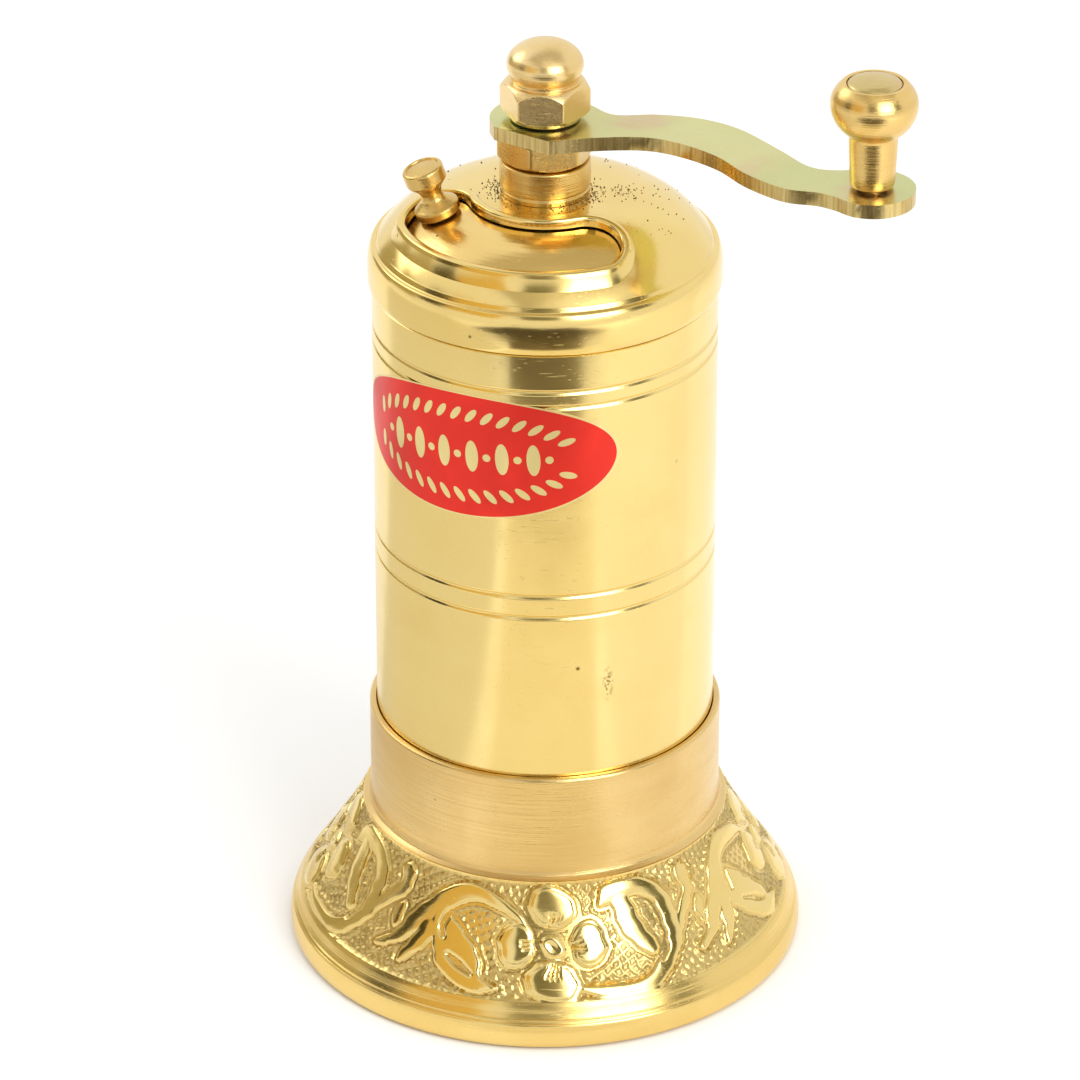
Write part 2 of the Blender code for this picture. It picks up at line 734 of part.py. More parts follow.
def arm_outline():
    """The S-shaped outline of the arm, from the hub's axis towards the knob's axis at +X.

    Each edge point is a share of the arm's length and an offset to the side.
    """
    back = [(0.165, 5.9), (0.27, 9.1), (0.39, 10.8), (0.515, 10.0), (0.67, 5.9), (0.79, 2.4), (0.87, 3.1)]
    front = [(0.885, -5.7), (0.79, -6.7), (0.66, -4.6), (0.54, -0.9), (0.41, 0.8), (0.3, 0.2), (0.17, -4.0)]
    hub_arc = arc(HUB_R, 56.0, 232.0, 8)
    end_centre = (ARM_LENGTH, 0.0)
    end_arc = arc(ARM_END_R, 120.0, -118.0, 8, end_centre)
    corner = (HUB_R * 0.56, -HUB_R * 0.92)
    points = list(hub_arc)
    hub_corner = len(points)
    points.append(corner)
    points += [(share * ARM_LENGTH, side) for share, side in reversed(front)]
    notch = len(points)
    points += list(reversed(end_arc))
    points += [(share * ARM_LENGTH, side) for share, side in reversed(back)]
    return smooth_closed(points, {hub_corner - 1, hub_corner, notch}, 3)


def crank_arm():
    """The flat S-shaped arm, with a two-flat hole for the shaft and a hole for the knob's pin."""
    turn = math.radians(ARM_ANGLE_DEG)
    hub_hole = double_flat(SHAFT_R + CLEAR, SHAFT_FLAT + CLEAR, 8)
    unturned = [
        (x * math.cos(-turn) - y * math.sin(-turn), x * math.sin(-turn) + y * math.cos(-turn))
        for x, y in hub_hole
    ]
    pin_hole = circle(PIN_R + CLEAR, SMALL, (ARM_LENGTH, 0.0))
    arm = flat("crank_arm", [arm_outline(), unturned, pin_hole], ARM_FOOT, ARM_TOP)
    arm.rotation_euler.z = turn
    return arm


def knob_axis():
    """The (x, y) place of the crank knob's axis."""
    return polar(ARM_LENGTH, ARM_ANGLE_DEG)


def crank_knob():
    """The turned knob: tapered neck under a flattened ball, bored for its pin."""
    foot = ARM_TOP + CRANK_KNOB_LIFT
    top = foot + CRANK_KNOB_H
    neck_top = foot + CRANK_KNOB_NECK_H
    middle = neck_top + 5.1
    recess_r = PIN_HEAD_R + CLEAR
    recess_z = top - PIN_HEAD_H / 2 - CLEAR
    bore = PIN_R + CLEAR
    rows = 4
    upper_start = math.acos(CRANK_KNOB_TOP_R / CRANK_KNOB_R)
    lower_end = math.acos(CRANK_KNOB_NECK_R / CRANK_KNOB_R)
    profile = [(bore, recess_z), (recess_r, recess_z), (recess_r, top)]
    for i in range(rows + 1):
        angle = upper_start * (1.0 - i / rows)
        rise = (top - middle) * math.sin(angle) / math.sin(upper_start)
        profile.append((CRANK_KNOB_R * math.cos(angle), middle + rise))
    for i in range(1, rows + 1):
        angle = lower_end * i / rows
        drop = (middle - neck_top) * math.sin(angle) / math.sin(lower_end)
        profile.append((CRANK_KNOB_R * math.cos(angle), middle - drop))
    profile += [(CRANK_KNOB_FOOT_R, foot), (bore, foot)]
    knob = turned("crank_knob", profile, MEDIUM)
    x, y = knob_axis()
    knob.location = (x * MM, y * MM, 0.0)
    return knob


def knob_pin():
    """The pin the knob spins on: domed head in the knob's top, tail riveted under the arm."""
    head_top = ARM_TOP + CRANK_KNOB_LIFT + CRANK_KNOB_H + PIN_HEAD_H / 2
    head_foot = head_top - PIN_HEAD_H
    tail_top = ARM_FOOT - CLEAR
    profile = [
        (0.0, head_top),
        (PIN_HEAD_R * 0.6, head_top - 0.2),
        (PIN_HEAD_R, head_top - 0.8),
        (PIN_HEAD_R, head_foot),
        (PIN_R, head_foot),
        (PIN_R, tail_top),
        (PIN_TAIL_R, tail_top),
        (PIN_TAIL_R * 0.7, tail_top - PIN_TAIL_H),
        (0.0, tail_top - PIN_TAIL_H),
    ]
    pin = turned("knob_pin", profile, MEDIUM)
    x, y = knob_axis()
    pin.location = (x * MM, y * MM, 0.0)
    return pin


def burr_carrier():
    """The funnel pressed into the tube: flange, slope down to the burr and the burr's socket."""
    flange_foot = CARRIER_TOP - CARRIER_FLANGE_T
    bore = OUTER_BURR_R + CLEAR
    mouth = OUTER_BURR_MOUTH_R + 1.4
    seat = SOCKET_BOTTOM + OUTER_BURR_H + CLEAR
    profile = [
        (CARRIER_R - CARRIER_FLANGE_W, CARRIER_TOP),
        (CARRIER_R, CARRIER_TOP),
        (CARRIER_R, flange_foot),
        (SOCKET_R, SOCKET_TOP),
        (SOCKET_R, SOCKET_BOTTOM),
        (bore, SOCKET_BOTTOM),
        (bore, seat),
        (mouth, seat),
        (mouth, seat + 1.2),
    ]
    return turned("burr_carrier", profile, FINE)


def star(radius, teeth, depth):
    """Outline of a toothed ring: each tooth has a steep and a shallow flank."""
    points = []
    for i in range(teeth):
        start = 360.0 * i / teeth
        points.append(polar(radius, start))
        points.append(polar(radius - depth, start + 250.0 / teeth))
    return points


def toothed_cone(name, top_r, foot_r, bottom, top):
    """A toothed prism whose top ring is drawn in, which makes a fluted cone."""
    obj = flat(name, [star(foot_r, BURR_TEETH, BURR_TOOTH)], bottom, top)
    middle = (top - bottom) / 2 * MM
    for vertex in obj.data.vertices:
        if vertex.co.z > middle / 2:
            vertex.co.x *= top_r / foot_r
            vertex.co.y *= top_r / foot_r
    return obj


def outer_burr():
    """The fixed burr ring, fluted inside and wider at its foot."""
    bottom = SOCKET_BOTTOM
    top = bottom + OUTER_BURR_H
    ring = cylinder("outer_burr", OUTER_BURR_R, bottom, top, MEDIUM)
    slope = (OUTER_BURR_MOUTH_R - OUTER_BURR_THROAT_R) / OUTER_BURR_H
    extra = 1.0
    flutes = toothed_cone(
        "burr_flutes",
        OUTER_BURR_MOUTH_R + slope * extra,
        OUTER_BURR_THROAT_R - slope * extra,
        bottom - extra,
        top + extra,
    )
    return combine(ring, flutes, "DIFFERENCE")


def inner_burr():
    """The turning burr cone on the square shaft."""
    bottom = SOCKET_BOTTOM + 1.0
    top = SOCKET_BOTTOM + OUTER_BURR_H + 1.0
    cone = toothed_cone("inner_burr", INNER_BURR_TOP_R, INNER_BURR_FOOT_R, bottom, top)
    corner = (SQUARE_HALF + CLEAR) * math.sqrt(2.0)
    square = [polar(corner, ARM_ANGLE_DEG + 45.0 + 90.0 * i) for i in range(4)]
    bore = flat("burr_bore", [square], bottom - 1.0, top + 1.0)
    return combine(cone, bore, "DIFFERENCE")


def bar_outline(length, width):
    """A flat bar with round ends, along X."""
    half = length / 2 - width / 2
    right = arc(width / 2, -90.0, 90.0, 8, (half, 0.0))
    left = arc(width / 2, 90.0, 270.0, 8, (-half, 0.0))
    return right + left


def guide_screw_x():
    """How far each guide screw stands from the axis."""
    return CARRIER_R - CARRIER_FLANGE_W / 2


def bridge_screw_x():
    """How far each bridge screw stands from the axis."""
    return (SOCKET_R + OUTER_BURR_R + CLEAR) / 2


def shaft_guide():
    """The bar across the top of the carrier that keeps the shaft central."""
    bottom = CARRIER_TOP + CLEAR
    length = 2.0 * (CARRIER_R - 0.8)
    holes = [circle(GUIDE_BORE_R, SMALL)]
    for side in (-1.0, 1.0):
        holes.append(circle(SCREW_R + CLEAR, SMALL, (side * guide_screw_x(), 0.0)))
    outline = bar_outline(length, GUIDE_W * 0.7)
    hub = circle(GUIDE_W * 0.8, MEDIUM)
    bar = flat("shaft_guide", [outline], bottom, bottom + GUIDE_T)
    combine(bar, flat("guide_hub", [hub], bottom, bottom + GUIDE_T), "UNION")
    for index, hole in enumerate(holes):
        cut = flat(f"guide_hole_{index}", [hole], bottom - 1.0, bottom + GUIDE_T + 1.0)
        combine(bar, cut, "DIFFERENCE")
    return bar


def lower_bridge():
    """The bar under the burrs that the adjuster turns in."""
    top = BRIDGE_FOOT + BRIDGE_T
    length = 2.0 * (SOCKET_R - 0.4)
    holes = [circle(ADJUSTER_R + CLEAR, SMALL)]
    for side in (-1.0, 1.0):
        holes.append(circle(SCREW_R + CLEAR, SMALL, (side * bridge_screw_x(), 0.0)))
    return flat("lower_bridge", [bar_outline(length, BRIDGE_W), *holes], BRIDGE_FOOT, top)


def screw(name, x, seat, down):
    """A cheese-head screw at x whose head rests on seat. It points down, or up when down is -1."""
    profile = [
        (0.0, SCREW_HEAD_H + CLEAR),
        (SCREW_HEAD_R - 0.3, SCREW_HEAD_H + CLEAR),
        (SCREW_HEAD_R, SCREW_HEAD_H + CLEAR - 0.3),
        (SCREW_HEAD_R, CLEAR),
        (SCREW_R, CLEAR),
        (SCREW_R, CLEAR - SCREW_LENGTH),
        (0.0, CLEAR - SCREW_LENGTH),
    ]
    obj = turned(name, profile, SMALL)
    obj.location = (x * MM, 0.0, seat * MM)
    if down < 0:
        obj.rotation_euler.x = math.pi
    return obj


def drill_for_screws(obj, places, bottom, top):
    """Cut a screw hole at each x."""
    for index, x in enumerate(places):
        hole = cylinder(f"{obj.name}_drill_{index}", SCREW_R + CLEAR, bottom, top, SMALL, (x, 0.0))
        combine(obj, hole, "DIFFERENCE")


def grind_spring():
    """The spring round the shaft that presses the turning burr down."""
    bottom = SOCKET_BOTTOM + OUTER_BURR_H + 1.0 + CLEAR + SPRING_WIRE_R
    top = CARRIER_TOP - SPRING_WIRE_R
    per_turn = 12
    count = SPRING_TURNS * per_turn
    points = []
    for i in range(count + 1):
        x, y = polar(SPRING_R, 360.0 * i / per_turn)
        points.append((x, y, bottom + (top - bottom) * i / count))
    return tube("grind_spring", points, SPRING_WIRE_R, resolution=1)


def thrust_ball():
    """The steel ball the shaft's lower end turns on."""
    bpy.ops.mesh.primitive_uv_sphere_add(segments=16, ring_count=8, radius=BALL_R * MM)
    ball = bpy.context.object
    ball.name = "thrust_ball"
    for holder in list(ball.users_collection):
        holder.objects.unlink(ball)
    PARTS.objects.link(ball)
    ball.location.z = BALL_CENTRE * MM
    return ball


def adjuster_screw():
    """The thumb screw under the bridge: knurled head, and a stem whose tip carries the ball."""
    head_top = BRIDGE_FOOT - CLEAR - ADJUSTER_TRAVEL
    head_foot = head_top - ADJUSTER_HEAD_H
    tip = BALL_CENTRE - BALL_R - CLEAR
    head = flat(
        "adjuster_screw", [star(ADJUSTER_HEAD_R, ADJUSTER_KNURLS, 0.5)], head_foot, head_top
    )
    stem = cylinder("adjuster_stem", ADJUSTER_R, head_foot + 0.5, tip, SMALL)
    return combine(head, stem, "UNION")


clear_scene()
PARTS = collection("pepper_mill")
CUTTERS = collection("cutters")

POLISHED = material("polished_brass", (0.80, 0.62, 0.28), 0.18)
SATIN = material("satin_brass", (0.78, 0.55, 0.25), 0.35)
ENGRAVED = material("engraved_brass", (0.76, 0.60, 0.28), 0.28)
PLATED = material("plated_steel", (0.70, 0.68, 0.40), 0.30)
STEEL = material("bright_steel", (0.55, 0.55, 0.56), 0.35)
CAST = material("cast_iron", (0.22, 0.21, 0.21), 0.60)

base_group = empty("base")
mill_group = empty("mill_axis")
door_group = empty("door_axis")
lift_group = empty("lift_axis")
adjuster_group = empty("adjuster_axis")
crank_group = empty("crank_axis")
knob_group = empty("knob_axis", *knob_axis())

place(base_bell(), base_group, ENGRAVED)
place(base_floor(), base_group, SATIN)
place(collar_band(), base_group, SATIN)

place(body_tube(), mill_group, POLISHED)
place(top_cap(), mill_group, POLISHED)
place(cap_collar(), mill_group, SATIN)
place(door_washer(), mill_group, STEEL)
place(door_retainer(), mill_group, SATIN)
place(outer_burr(), mill_group, CAST)
place(grind_spring(), mill_group, STEEL)

carrier = place(burr_carrier(), mill_group, SATIN)
guide = place(shaft_guide(), mill_group, STEEL)
bridge = place(lower_bridge(), mill_group, STEEL)
guide_places = (-guide_screw_x(), guide_screw_x())
bridge_places = (-bridge_screw_x(), bridge_screw_x())
reach = SCREW_LENGTH + CLEAR
drill_for_screws(carrier, guide_places, CARRIER_TOP - reach, CARRIER_TOP + 1.0)
drill_for_screws(carrier, bridge_places, SOCKET_BOTTOM - 1.0, SOCKET_BOTTOM + reach)
for number, screw_x in enumerate(guide_places, 1):
    seat_z = CARRIER_TOP + CLEAR + GUIDE_T
    place(screw(f"guide_screw_{number}", screw_x, seat_z, 1), mill_group, STEEL)
for number, screw_x in enumerate(bridge_places, 1):
    seat_z = BRIDGE_FOOT
    place(screw(f"bridge_screw_{number}", screw_x, seat_z, -1), mill_group, STEEL)

place(door_plate(), door_group, SATIN)
place(door_knob(), door_group, SATIN)
place(door_rivet_washer(), door_group, SATIN)

place(thrust_ball(), lift_group, STEEL)
place(adjuster_screw(), adjuster_group, SATIN)

place(drive_shaft(), crank_group, STEEL)
place(inner_burr(), crank_group, CAST)
place(lock_nut(), crank_group, SATIN)
place(crank_arm(), crank_group, PLATED)
place(crank_washer(), crank_group, PLATED)
place(acorn_nut(), crank_group, SATIN)
place(knob_pin(), crank_group, SATIN)

place(crank_knob(), knob_group, SATIN)
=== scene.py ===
"""Looks of a hand-cranked brass pepper mill.

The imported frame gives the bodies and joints. Each visible piece here stands for a frame node of
the same size and place, and adds its turned edges, its engraving and its finish. The lengths in the
classes are millimetres; meshes are made in metres, in the frame's own axes.
"""

import enum
import logging
import math
from dataclasses import dataclass, field

import bmesh
import bpy
import numpy as np
from mathutils import Matrix, Vector


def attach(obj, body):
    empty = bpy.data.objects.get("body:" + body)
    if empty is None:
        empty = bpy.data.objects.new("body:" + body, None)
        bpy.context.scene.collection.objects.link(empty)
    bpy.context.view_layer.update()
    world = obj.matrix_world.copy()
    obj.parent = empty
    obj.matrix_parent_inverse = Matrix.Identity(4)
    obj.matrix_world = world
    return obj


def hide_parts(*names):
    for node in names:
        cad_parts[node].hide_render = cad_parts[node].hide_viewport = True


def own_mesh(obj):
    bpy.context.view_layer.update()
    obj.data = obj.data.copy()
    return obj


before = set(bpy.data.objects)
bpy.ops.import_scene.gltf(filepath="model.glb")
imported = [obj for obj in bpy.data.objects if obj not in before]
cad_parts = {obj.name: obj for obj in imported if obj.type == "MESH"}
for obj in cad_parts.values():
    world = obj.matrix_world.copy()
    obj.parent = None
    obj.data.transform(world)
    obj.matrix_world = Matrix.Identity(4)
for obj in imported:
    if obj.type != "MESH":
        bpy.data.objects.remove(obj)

LOG = logging.getLogger("pepper_mill")
MM = 0.001
MERGE = 1e-6            # metres within which doubled points of a mesh become one
LONG_SEGMENT = 0.45     # millimetres from which a profile segment gets points near its ends
GAP = 0.3               # millimetres left between pieces that move past each other
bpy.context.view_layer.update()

Object, Material = bpy.types.Object, bpy.types.Material
Tree, Socket = bpy.types.NodeTree, bpy.types.NodeSocket
Finishes = dict[str, Material]
Profile = list[tuple[float, float]]
Colour = tuple[float, float, float]


class Body(enum.Enum):
    """The bodies of the frame that pieces ride on."""

    BASE = "base"
    MILL = "mill"
    DOOR = "door"
    LIFT = "lift"
    ADJUSTER = "adjuster"
    CRANK = "crank"
    KNOB = "knob"


# ---- Shapes -------------------------------------------------------------------------------------


def rounded(points: list[tuple[float, float, float]], steps: int = 4) -> Profile:
    """Round the corners of a closed profile.

    Args:
        points: (radius, height, fillet) of each corner.
        steps: Segments in each fillet.

    Returns:
        The (radius, height) points of the rounded profile.
    """
    out: Profile = []
    count = len(points)
    for i, (r, z, fillet) in enumerate(points):
        here = np.array((r, z))
        if fillet <= 0.0:
            out.append((r, z))
            continue
        before = np.array(points[i - 1][:2]) - here
        after = np.array(points[(i + 1) % count][:2]) - here
        long_before, long_after = np.linalg.norm(before), np.linalg.norm(after)
        reach = min(fillet, 0.45 * long_before, 0.45 * long_after)
        start = here + before / long_before * reach
        end = here + after / long_after * reach
        for k in range(steps + 1):
            t = k / steps
            p = (1 - t) ** 2 * start + 2 * t * (1 - t) * here + t * t * end
            out.append((float(p[0]), float(p[1])))
    return out


def smooth_line(points: Profile, per_span: int = 4) -> Profile:
    """Run a Catmull-Rom curve through open profile points.

    Args:
        points: The points to pass through.
        per_span: Segments between two of them.

    Returns:
        The points of the curve, both ends included.
    """
    out: Profile = []
    last = len(points) - 1
    for i in range(last):
        p0, p1 = points[max(i - 1, 0)], points[i]
        p2, p3 = points[i + 1], points[min(i + 2, last)]
        for k in range(per_span):
            out.append(catmull(p0, p1, p2, p3, k / per_span))
    out.append(points[-1])
    return out


def catmull(p0: tuple, p1: tuple, p2: tuple, p3: tuple, t: float) -> tuple[float, float]:
    """The point at share t between p1 and p2 of a Catmull-Rom curve."""
    weights = (
        -0.5 * t + t * t - 0.5 * t**3,
        1.0 - 2.5 * t * t + 1.5 * t**3,
        0.5 * t + 2.0 * t * t - 1.5 * t**3,
        -0.5 * t * t + 0.5 * t**3,
    )
    x, y = (sum(w * p[axis] for w, p in zip(weights, (p0, p1, p2, p3))) for axis in (0, 1))
    return x, y


def hump(value, middle: float, width: float):
    """A smooth hump over a number or an array, one high at its middle."""
    return np.exp(-(((value - middle) / width) ** 2))


def linked(name: str, data: bpy.types.ID) -> Object:
    """A new object that holds this data, linked to the scene."""
    made = bpy.data.objects.new(name, data)
    bpy.context.scene.collection.objects.link(made)
    return made


def grid_piece(name: str, rows: np.ndarray, wrap_rows: bool = True) -> Object:
    """Make a closed piece from rings of points.

    Args:
        name: The piece's name.
        rows: Points in millimetres, as rings by steps by 3. Each ring closes on itself.
        wrap_rows: Whether the last ring joins the first. If not, both end rings are poles.

    Returns:
        The piece, with its faces pointing outwards.
    """
    rings, steps = rows.shape[:2]
    index = np.arange(rings * steps).reshape(rings, steps)
    upper = index if wrap_rows else index[:-1]
    lower = np.roll(index, -1, axis=0) if wrap_rows else index[1:]
    quads = [upper, np.roll(upper, -1, 1), np.roll(lower, -1, 1), lower]
    faces = np.stack(quads, -1).reshape(-1, 4)
    points = rows.reshape(-1, 3) * MM
    a, b, c, d = (points[faces[:, k]] for k in range(4))
    volume = np.einsum("ij,ij->i", a, np.cross(b, c)) + np.einsum("ij,ij->i", a, np.cross(c, d))
    if volume.sum() < 0:
        faces = faces[:, ::-1]
    mesh = bpy.data.meshes.new(name)
    mesh.from_pydata(points.tolist(), [], faces.tolist())
    if not wrap_rows:
        model = bmesh.new()
        model.from_mesh(mesh)
        bmesh.ops.remove_doubles(model, verts=model.verts, dist=0.1 * MERGE)
        bmesh.ops.dissolve_degenerate(model, edges=model.edges, dist=0.01 * MERGE)
        model.to_mesh(mesh)
        model.free()
    return linked(name, mesh)


def supported(profile: Profile, closed: bool, margin: float = 0.06) -> Profile:
    """Add a point close to each end of every long segment, so that flats shade as flats.

    Args:
        profile: The (radius, height) points.
        closed: Whether the last point joins the first.
        margin: How far from the end each added point lies.

    Returns:
        The profile with its added points.
    """
    out: Profile = []
    last = len(profile) if closed else len(profile) - 1
    for i in range(last):
        start, end = np.array(profile[i]), np.array(profile[(i + 1) % len(profile)])
        length = float(np.linalg.norm(end - start))
        out.append(profile[i])
        if length > LONG_SEGMENT:
            for share in (margin / length, 1.0 - margin / length):
                r, z = start + (end - start) * share
                out.append((float(r), float(z)))
    if not closed:
        out.append(profile[-1])
    return out


def revolved(
    name: str, radius: np.ndarray, z: np.ndarray, angle: np.ndarray, poles: bool
) -> Object:
    """Make a piece from the radius and height of each ring at each angle."""
    height = np.outer(z, np.ones(len(angle)))
    rows = np.stack([radius * np.cos(angle), radius * np.sin(angle), height], -1)
    return grid_piece(name, rows, not poles)


def lathe(name: str, profile: Profile, steps: int, poles: bool = False) -> Object:
    """Turn a profile about the Z axis.

    Args:
        name: The piece's name.
        profile: (radius, height) points. It closes on itself unless poles is set.
        steps: Steps round the axis.
        poles: Whether both ends of the profile lie on the axis.

    Returns:
        The turned piece.
    """
    angle = np.linspace(0.0, 2 * math.pi, steps, endpoint=False)
    r, z = np.array(supported(profile, not poles)).T
    return revolved(name, r[:, None], z, angle, poles)


def hex_lathe(
    name: str,
    profile: Profile,
    across_flats: float,
    flat_deg: float,
    steps: int,
    poles: bool = False,
) -> Object:
    """Turn a profile, but let no point lie outside a hexagon.

    Args:
        name: The piece's name.
        profile: (radius, height) points, wider than the corners where the flats show.
        across_flats: The hexagon's size.
        flat_deg: The direction that one flat faces.
        steps: Steps round the axis.
        poles: Whether both ends of the profile lie on the axis.

    Returns:
        The nut, with its chamfers as curved edges on the flats.
    """
    angle = np.linspace(0.0, 2 * math.pi, steps, endpoint=False)
    corner_power = 90
    total = np.zeros(steps)
    for i in range(6):
        facing = np.cos(angle - math.radians(flat_deg + 60.0 * i))
        total += np.maximum(facing, 0.0) ** corner_power
    hexagon = across_flats / 2 * total ** (-1.0 / corner_power)
    r, z = np.array(profile).T
    return revolved(name, np.minimum(r[:, None], hexagon), z, angle, poles)


def polar(radius: float, degrees: float) -> tuple[float, float]:
    """The (x, y) point at a radius and an angle."""
    return radius * math.cos(math.radians(degrees)), radius * math.sin(math.radians(degrees))


def arc(
    radius: float, start: float, end: float, steps: int, centre: tuple = (0.0, 0.0)
) -> Profile:
    """Points along an arc in degrees, both ends included."""
    turned = (polar(radius, start + (end - start) * i / steps) for i in range(steps + 1))
    return [(centre[0] + x, centre[1] + y) for x, y in turned]


def plate(name: str, outlines: list[Profile], bottom: float, top: float) -> Object:
    """Extrude closed outlines into a flat plate. Later outlines are holes.

    Args:
        name: The piece's name.
        outlines: Closed outlines of (x, y) points.
        bottom: Height of the underside.
        top: Height of the upper side.

    Returns:
        The plate as a welded mesh.
    """
    curve = bpy.data.curves.new(name, "CURVE")
    curve.dimensions = "2D"
    curve.fill_mode = "BOTH"
    curve.extrude = (top - bottom) / 2 * MM
    for outline in outlines:
        spline = curve.splines.new("POLY")
        spline.points.add(len(outline) - 1)
        for point, (x, y) in zip(spline.points, outline):
            point.co = (x * MM, y * MM, 0.0, 1.0)
        spline.use_cyclic_u = True
    made = baked(linked(name, curve))
    made.data.transform(Matrix.Translation((0.0, 0.0, (top + bottom) / 2 * MM)))
    weld(made)
    return made


def weld(obj: Object) -> None:
    """Merge doubled points and turn every face outwards."""
    model = bmesh.new()
    model.from_mesh(obj.data)
    bmesh.ops.remove_doubles(model, verts=model.verts, dist=MERGE)
    bmesh.ops.recalc_face_normals(model, faces=model.faces)
    model.to_mesh(obj.data)
    model.free()


def baked(obj: Object) -> Object:
    """Replace an object by a plain mesh of what it evaluates to, with the same name."""
    bpy.context.view_layer.update()
    name = obj.name
    mesh = bpy.data.meshes.new_from_object(
        obj.evaluated_get(bpy.context.evaluated_depsgraph_get())
    )
    bpy.data.objects.remove(obj, do_unlink=True)
    mesh.name = name
    return linked(name, mesh)


def cut(obj: Object, cutter: Object) -> Object:
    """Cut one mesh from another and drop the cutter."""
    boolean = obj.modifiers.new("cut", "BOOLEAN")
    boolean.operation = "DIFFERENCE"
    boolean.solver = "EXACT"
    boolean.object = cutter
    made = baked(obj)
    bpy.data.objects.remove(cutter, do_unlink=True)
    return made


def bevelled(obj: Object, width: float) -> Object:
    """Round the sharp edges of a plate."""
    bevel = obj.modifiers.new("bevel", "BEVEL")
    bevel.width = width * MM
    bevel.segments = 3
    bevel.limit_method = "ANGLE"
    bevel.angle_limit = math.radians(50.0)
    return baked(obj)


def dress(
    obj: Object,
    finish: Material,
    body: Body,
    nodes: tuple[str, ...] = (),
    smooth_deg: float = 38.0,
) -> Object:
    """Give a piece its finish and its place in the frame.

    Args:
        obj: The piece, in place in its own mesh.
        finish: Its material.
        body: The body it rides on.
        nodes: Frame nodes that it stands for.
        smooth_deg: Edges sharper than this stay sharp.

    Returns:
        The piece.
    """
    obj.data.materials.clear()
    obj.data.materials.append(finish)
    obj.data.shade_smooth()
    obj.data.set_sharp_from_angle(angle=math.radians(smooth_deg))
    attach(obj, body.value)
    if nodes:
        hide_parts(*nodes)
    LOG.info("%s rides on %s, %d faces", obj.name, body.value, len(obj.data.polygons))
    return obj


# ---- Shader groups ------------------------------------------------------------------------------


class Group:
    """A shader node group under construction."""

    def __init__(self, name: str, inputs: dict[str, float], outputs: tuple[str, ...]) -> None:
        """Open a group.

        Args:
            name: The group's name.
            inputs: Each number input and its default.
            outputs: Names of the number outputs.
        """
        self.tree = bpy.data.node_groups.new(name, "ShaderNodeTree")
        self.tree.interface.new_socket("Place", in_out="INPUT", socket_type="NodeSocketVector")
        for label, value in inputs.items():
            made = self.tree.interface.new_socket(
                label, in_out="INPUT", socket_type="NodeSocketFloat"
            )
            made.default_value = value
        for label in outputs:
            self.tree.interface.new_socket(label, in_out="OUTPUT", socket_type="NodeSocketFloat")
        self.entry = self.tree.nodes.new("NodeGroupInput")
        self.exit = self.tree.nodes.new("NodeGroupOutput")

    def math(self, operation: str, a, b=0.0) -> Socket:
        """Add a Math node and return its output."""
        return add_math(self.tree, operation, a, b)

    def node(self, kind: str, **links):
        """Add a node and set or link its named inputs."""
        return add_node(self.tree, kind, **links)


def feed(tree: Tree, target: Socket, value) -> None:
    """Link an input to a socket, or set it to a value."""
    if isinstance(value, Socket):
        tree.links.new(value, target)
    else:
        target.default_value = value


def add_node(tree: Tree, kind: str, **inputs) -> bpy.types.Node:
    """Add a node and fill its inputs.

    Args:
        tree: The node tree.
        kind: The node's type, without its ShaderNode prefix.
        **inputs: Input names with spaces as underscores, each with a value or a socket.

    Returns:
        The node.
    """
    made = tree.nodes.new("ShaderNode" + kind)
    for label, value in inputs.items():
        feed(tree, made.inputs[label.replace("_", " ")], value)
    return made


def add_math(tree: Tree, operation: str, a, b=0.0, c=0.0) -> Socket:
    """Add a Math node whose inputs are values or sockets, and return its output."""
    made = tree.nodes.new("ShaderNodeMath")
    made.operation = operation
    for target, value in zip(made.inputs, (a, b, c)):
        feed(tree, target, value)
    return made.outputs[0]


def times(tree: Tree, a, b) -> Socket:
    """Multiply two values or sockets."""
    return add_math(tree, "MULTIPLY", a, b)


def plus(tree: Tree, a, b) -> Socket:
    """Add two values or sockets."""
    return add_math(tree, "ADD", a, b)


def spread(tree: Tree, value, low: float, high: float, to_low: float, to_high: float):
    """Add a clamped Map Range and return its output."""
    made = add_node(
        tree, "MapRange", Value=value, From_Min=low, From_Max=high, To_Min=to_low, To_Max=to_high
    )
    return made.outputs["Result"]


def blend(tree: Tree, factor, first, second) -> Socket:
    """Blend two colours, each a colour or a socket, and return the result."""
    made = tree.nodes.new("ShaderNodeMix")
    made.data_type = "RGBA"
    tree.links.new(factor, made.inputs["Factor"])
    for target, value in ((made.inputs[6], first), (made.inputs[7], second)):
        feed(tree, target, value if isinstance(value, Socket) else (*value, 1.0))
    return made.outputs[2]


def new_material(name: str) -> tuple[Material, Tree, bpy.types.Node]:
    """A new node material, its tree and its Principled BSDF."""
    made = bpy.data.materials.new(name)
    made.use_nodes = True
    return made, made.node_tree, made.node_tree.nodes["Principled BSDF"]


def place_group(
    tree: Tree, used: Tree, place: Socket
) -> bpy.types.Node:
    """Put a shared group in a material, fed with the coordinates it reads."""
    made = tree.nodes.new("ShaderNodeGroup")
    made.node_tree = used
    tree.links.new(place, made.inputs["Place"])
    return made


def bumped(
    tree: Tree, shader: bpy.types.Node, height, strength: float, distance: float
) -> None:
    """Feed a height to a shader's normal through a Bump node."""
    bump = add_node(tree, "Bump", Height=height, Strength=strength, Distance=distance)
    tree.links.new(bump.outputs["Normal"], shader.inputs["Normal"])


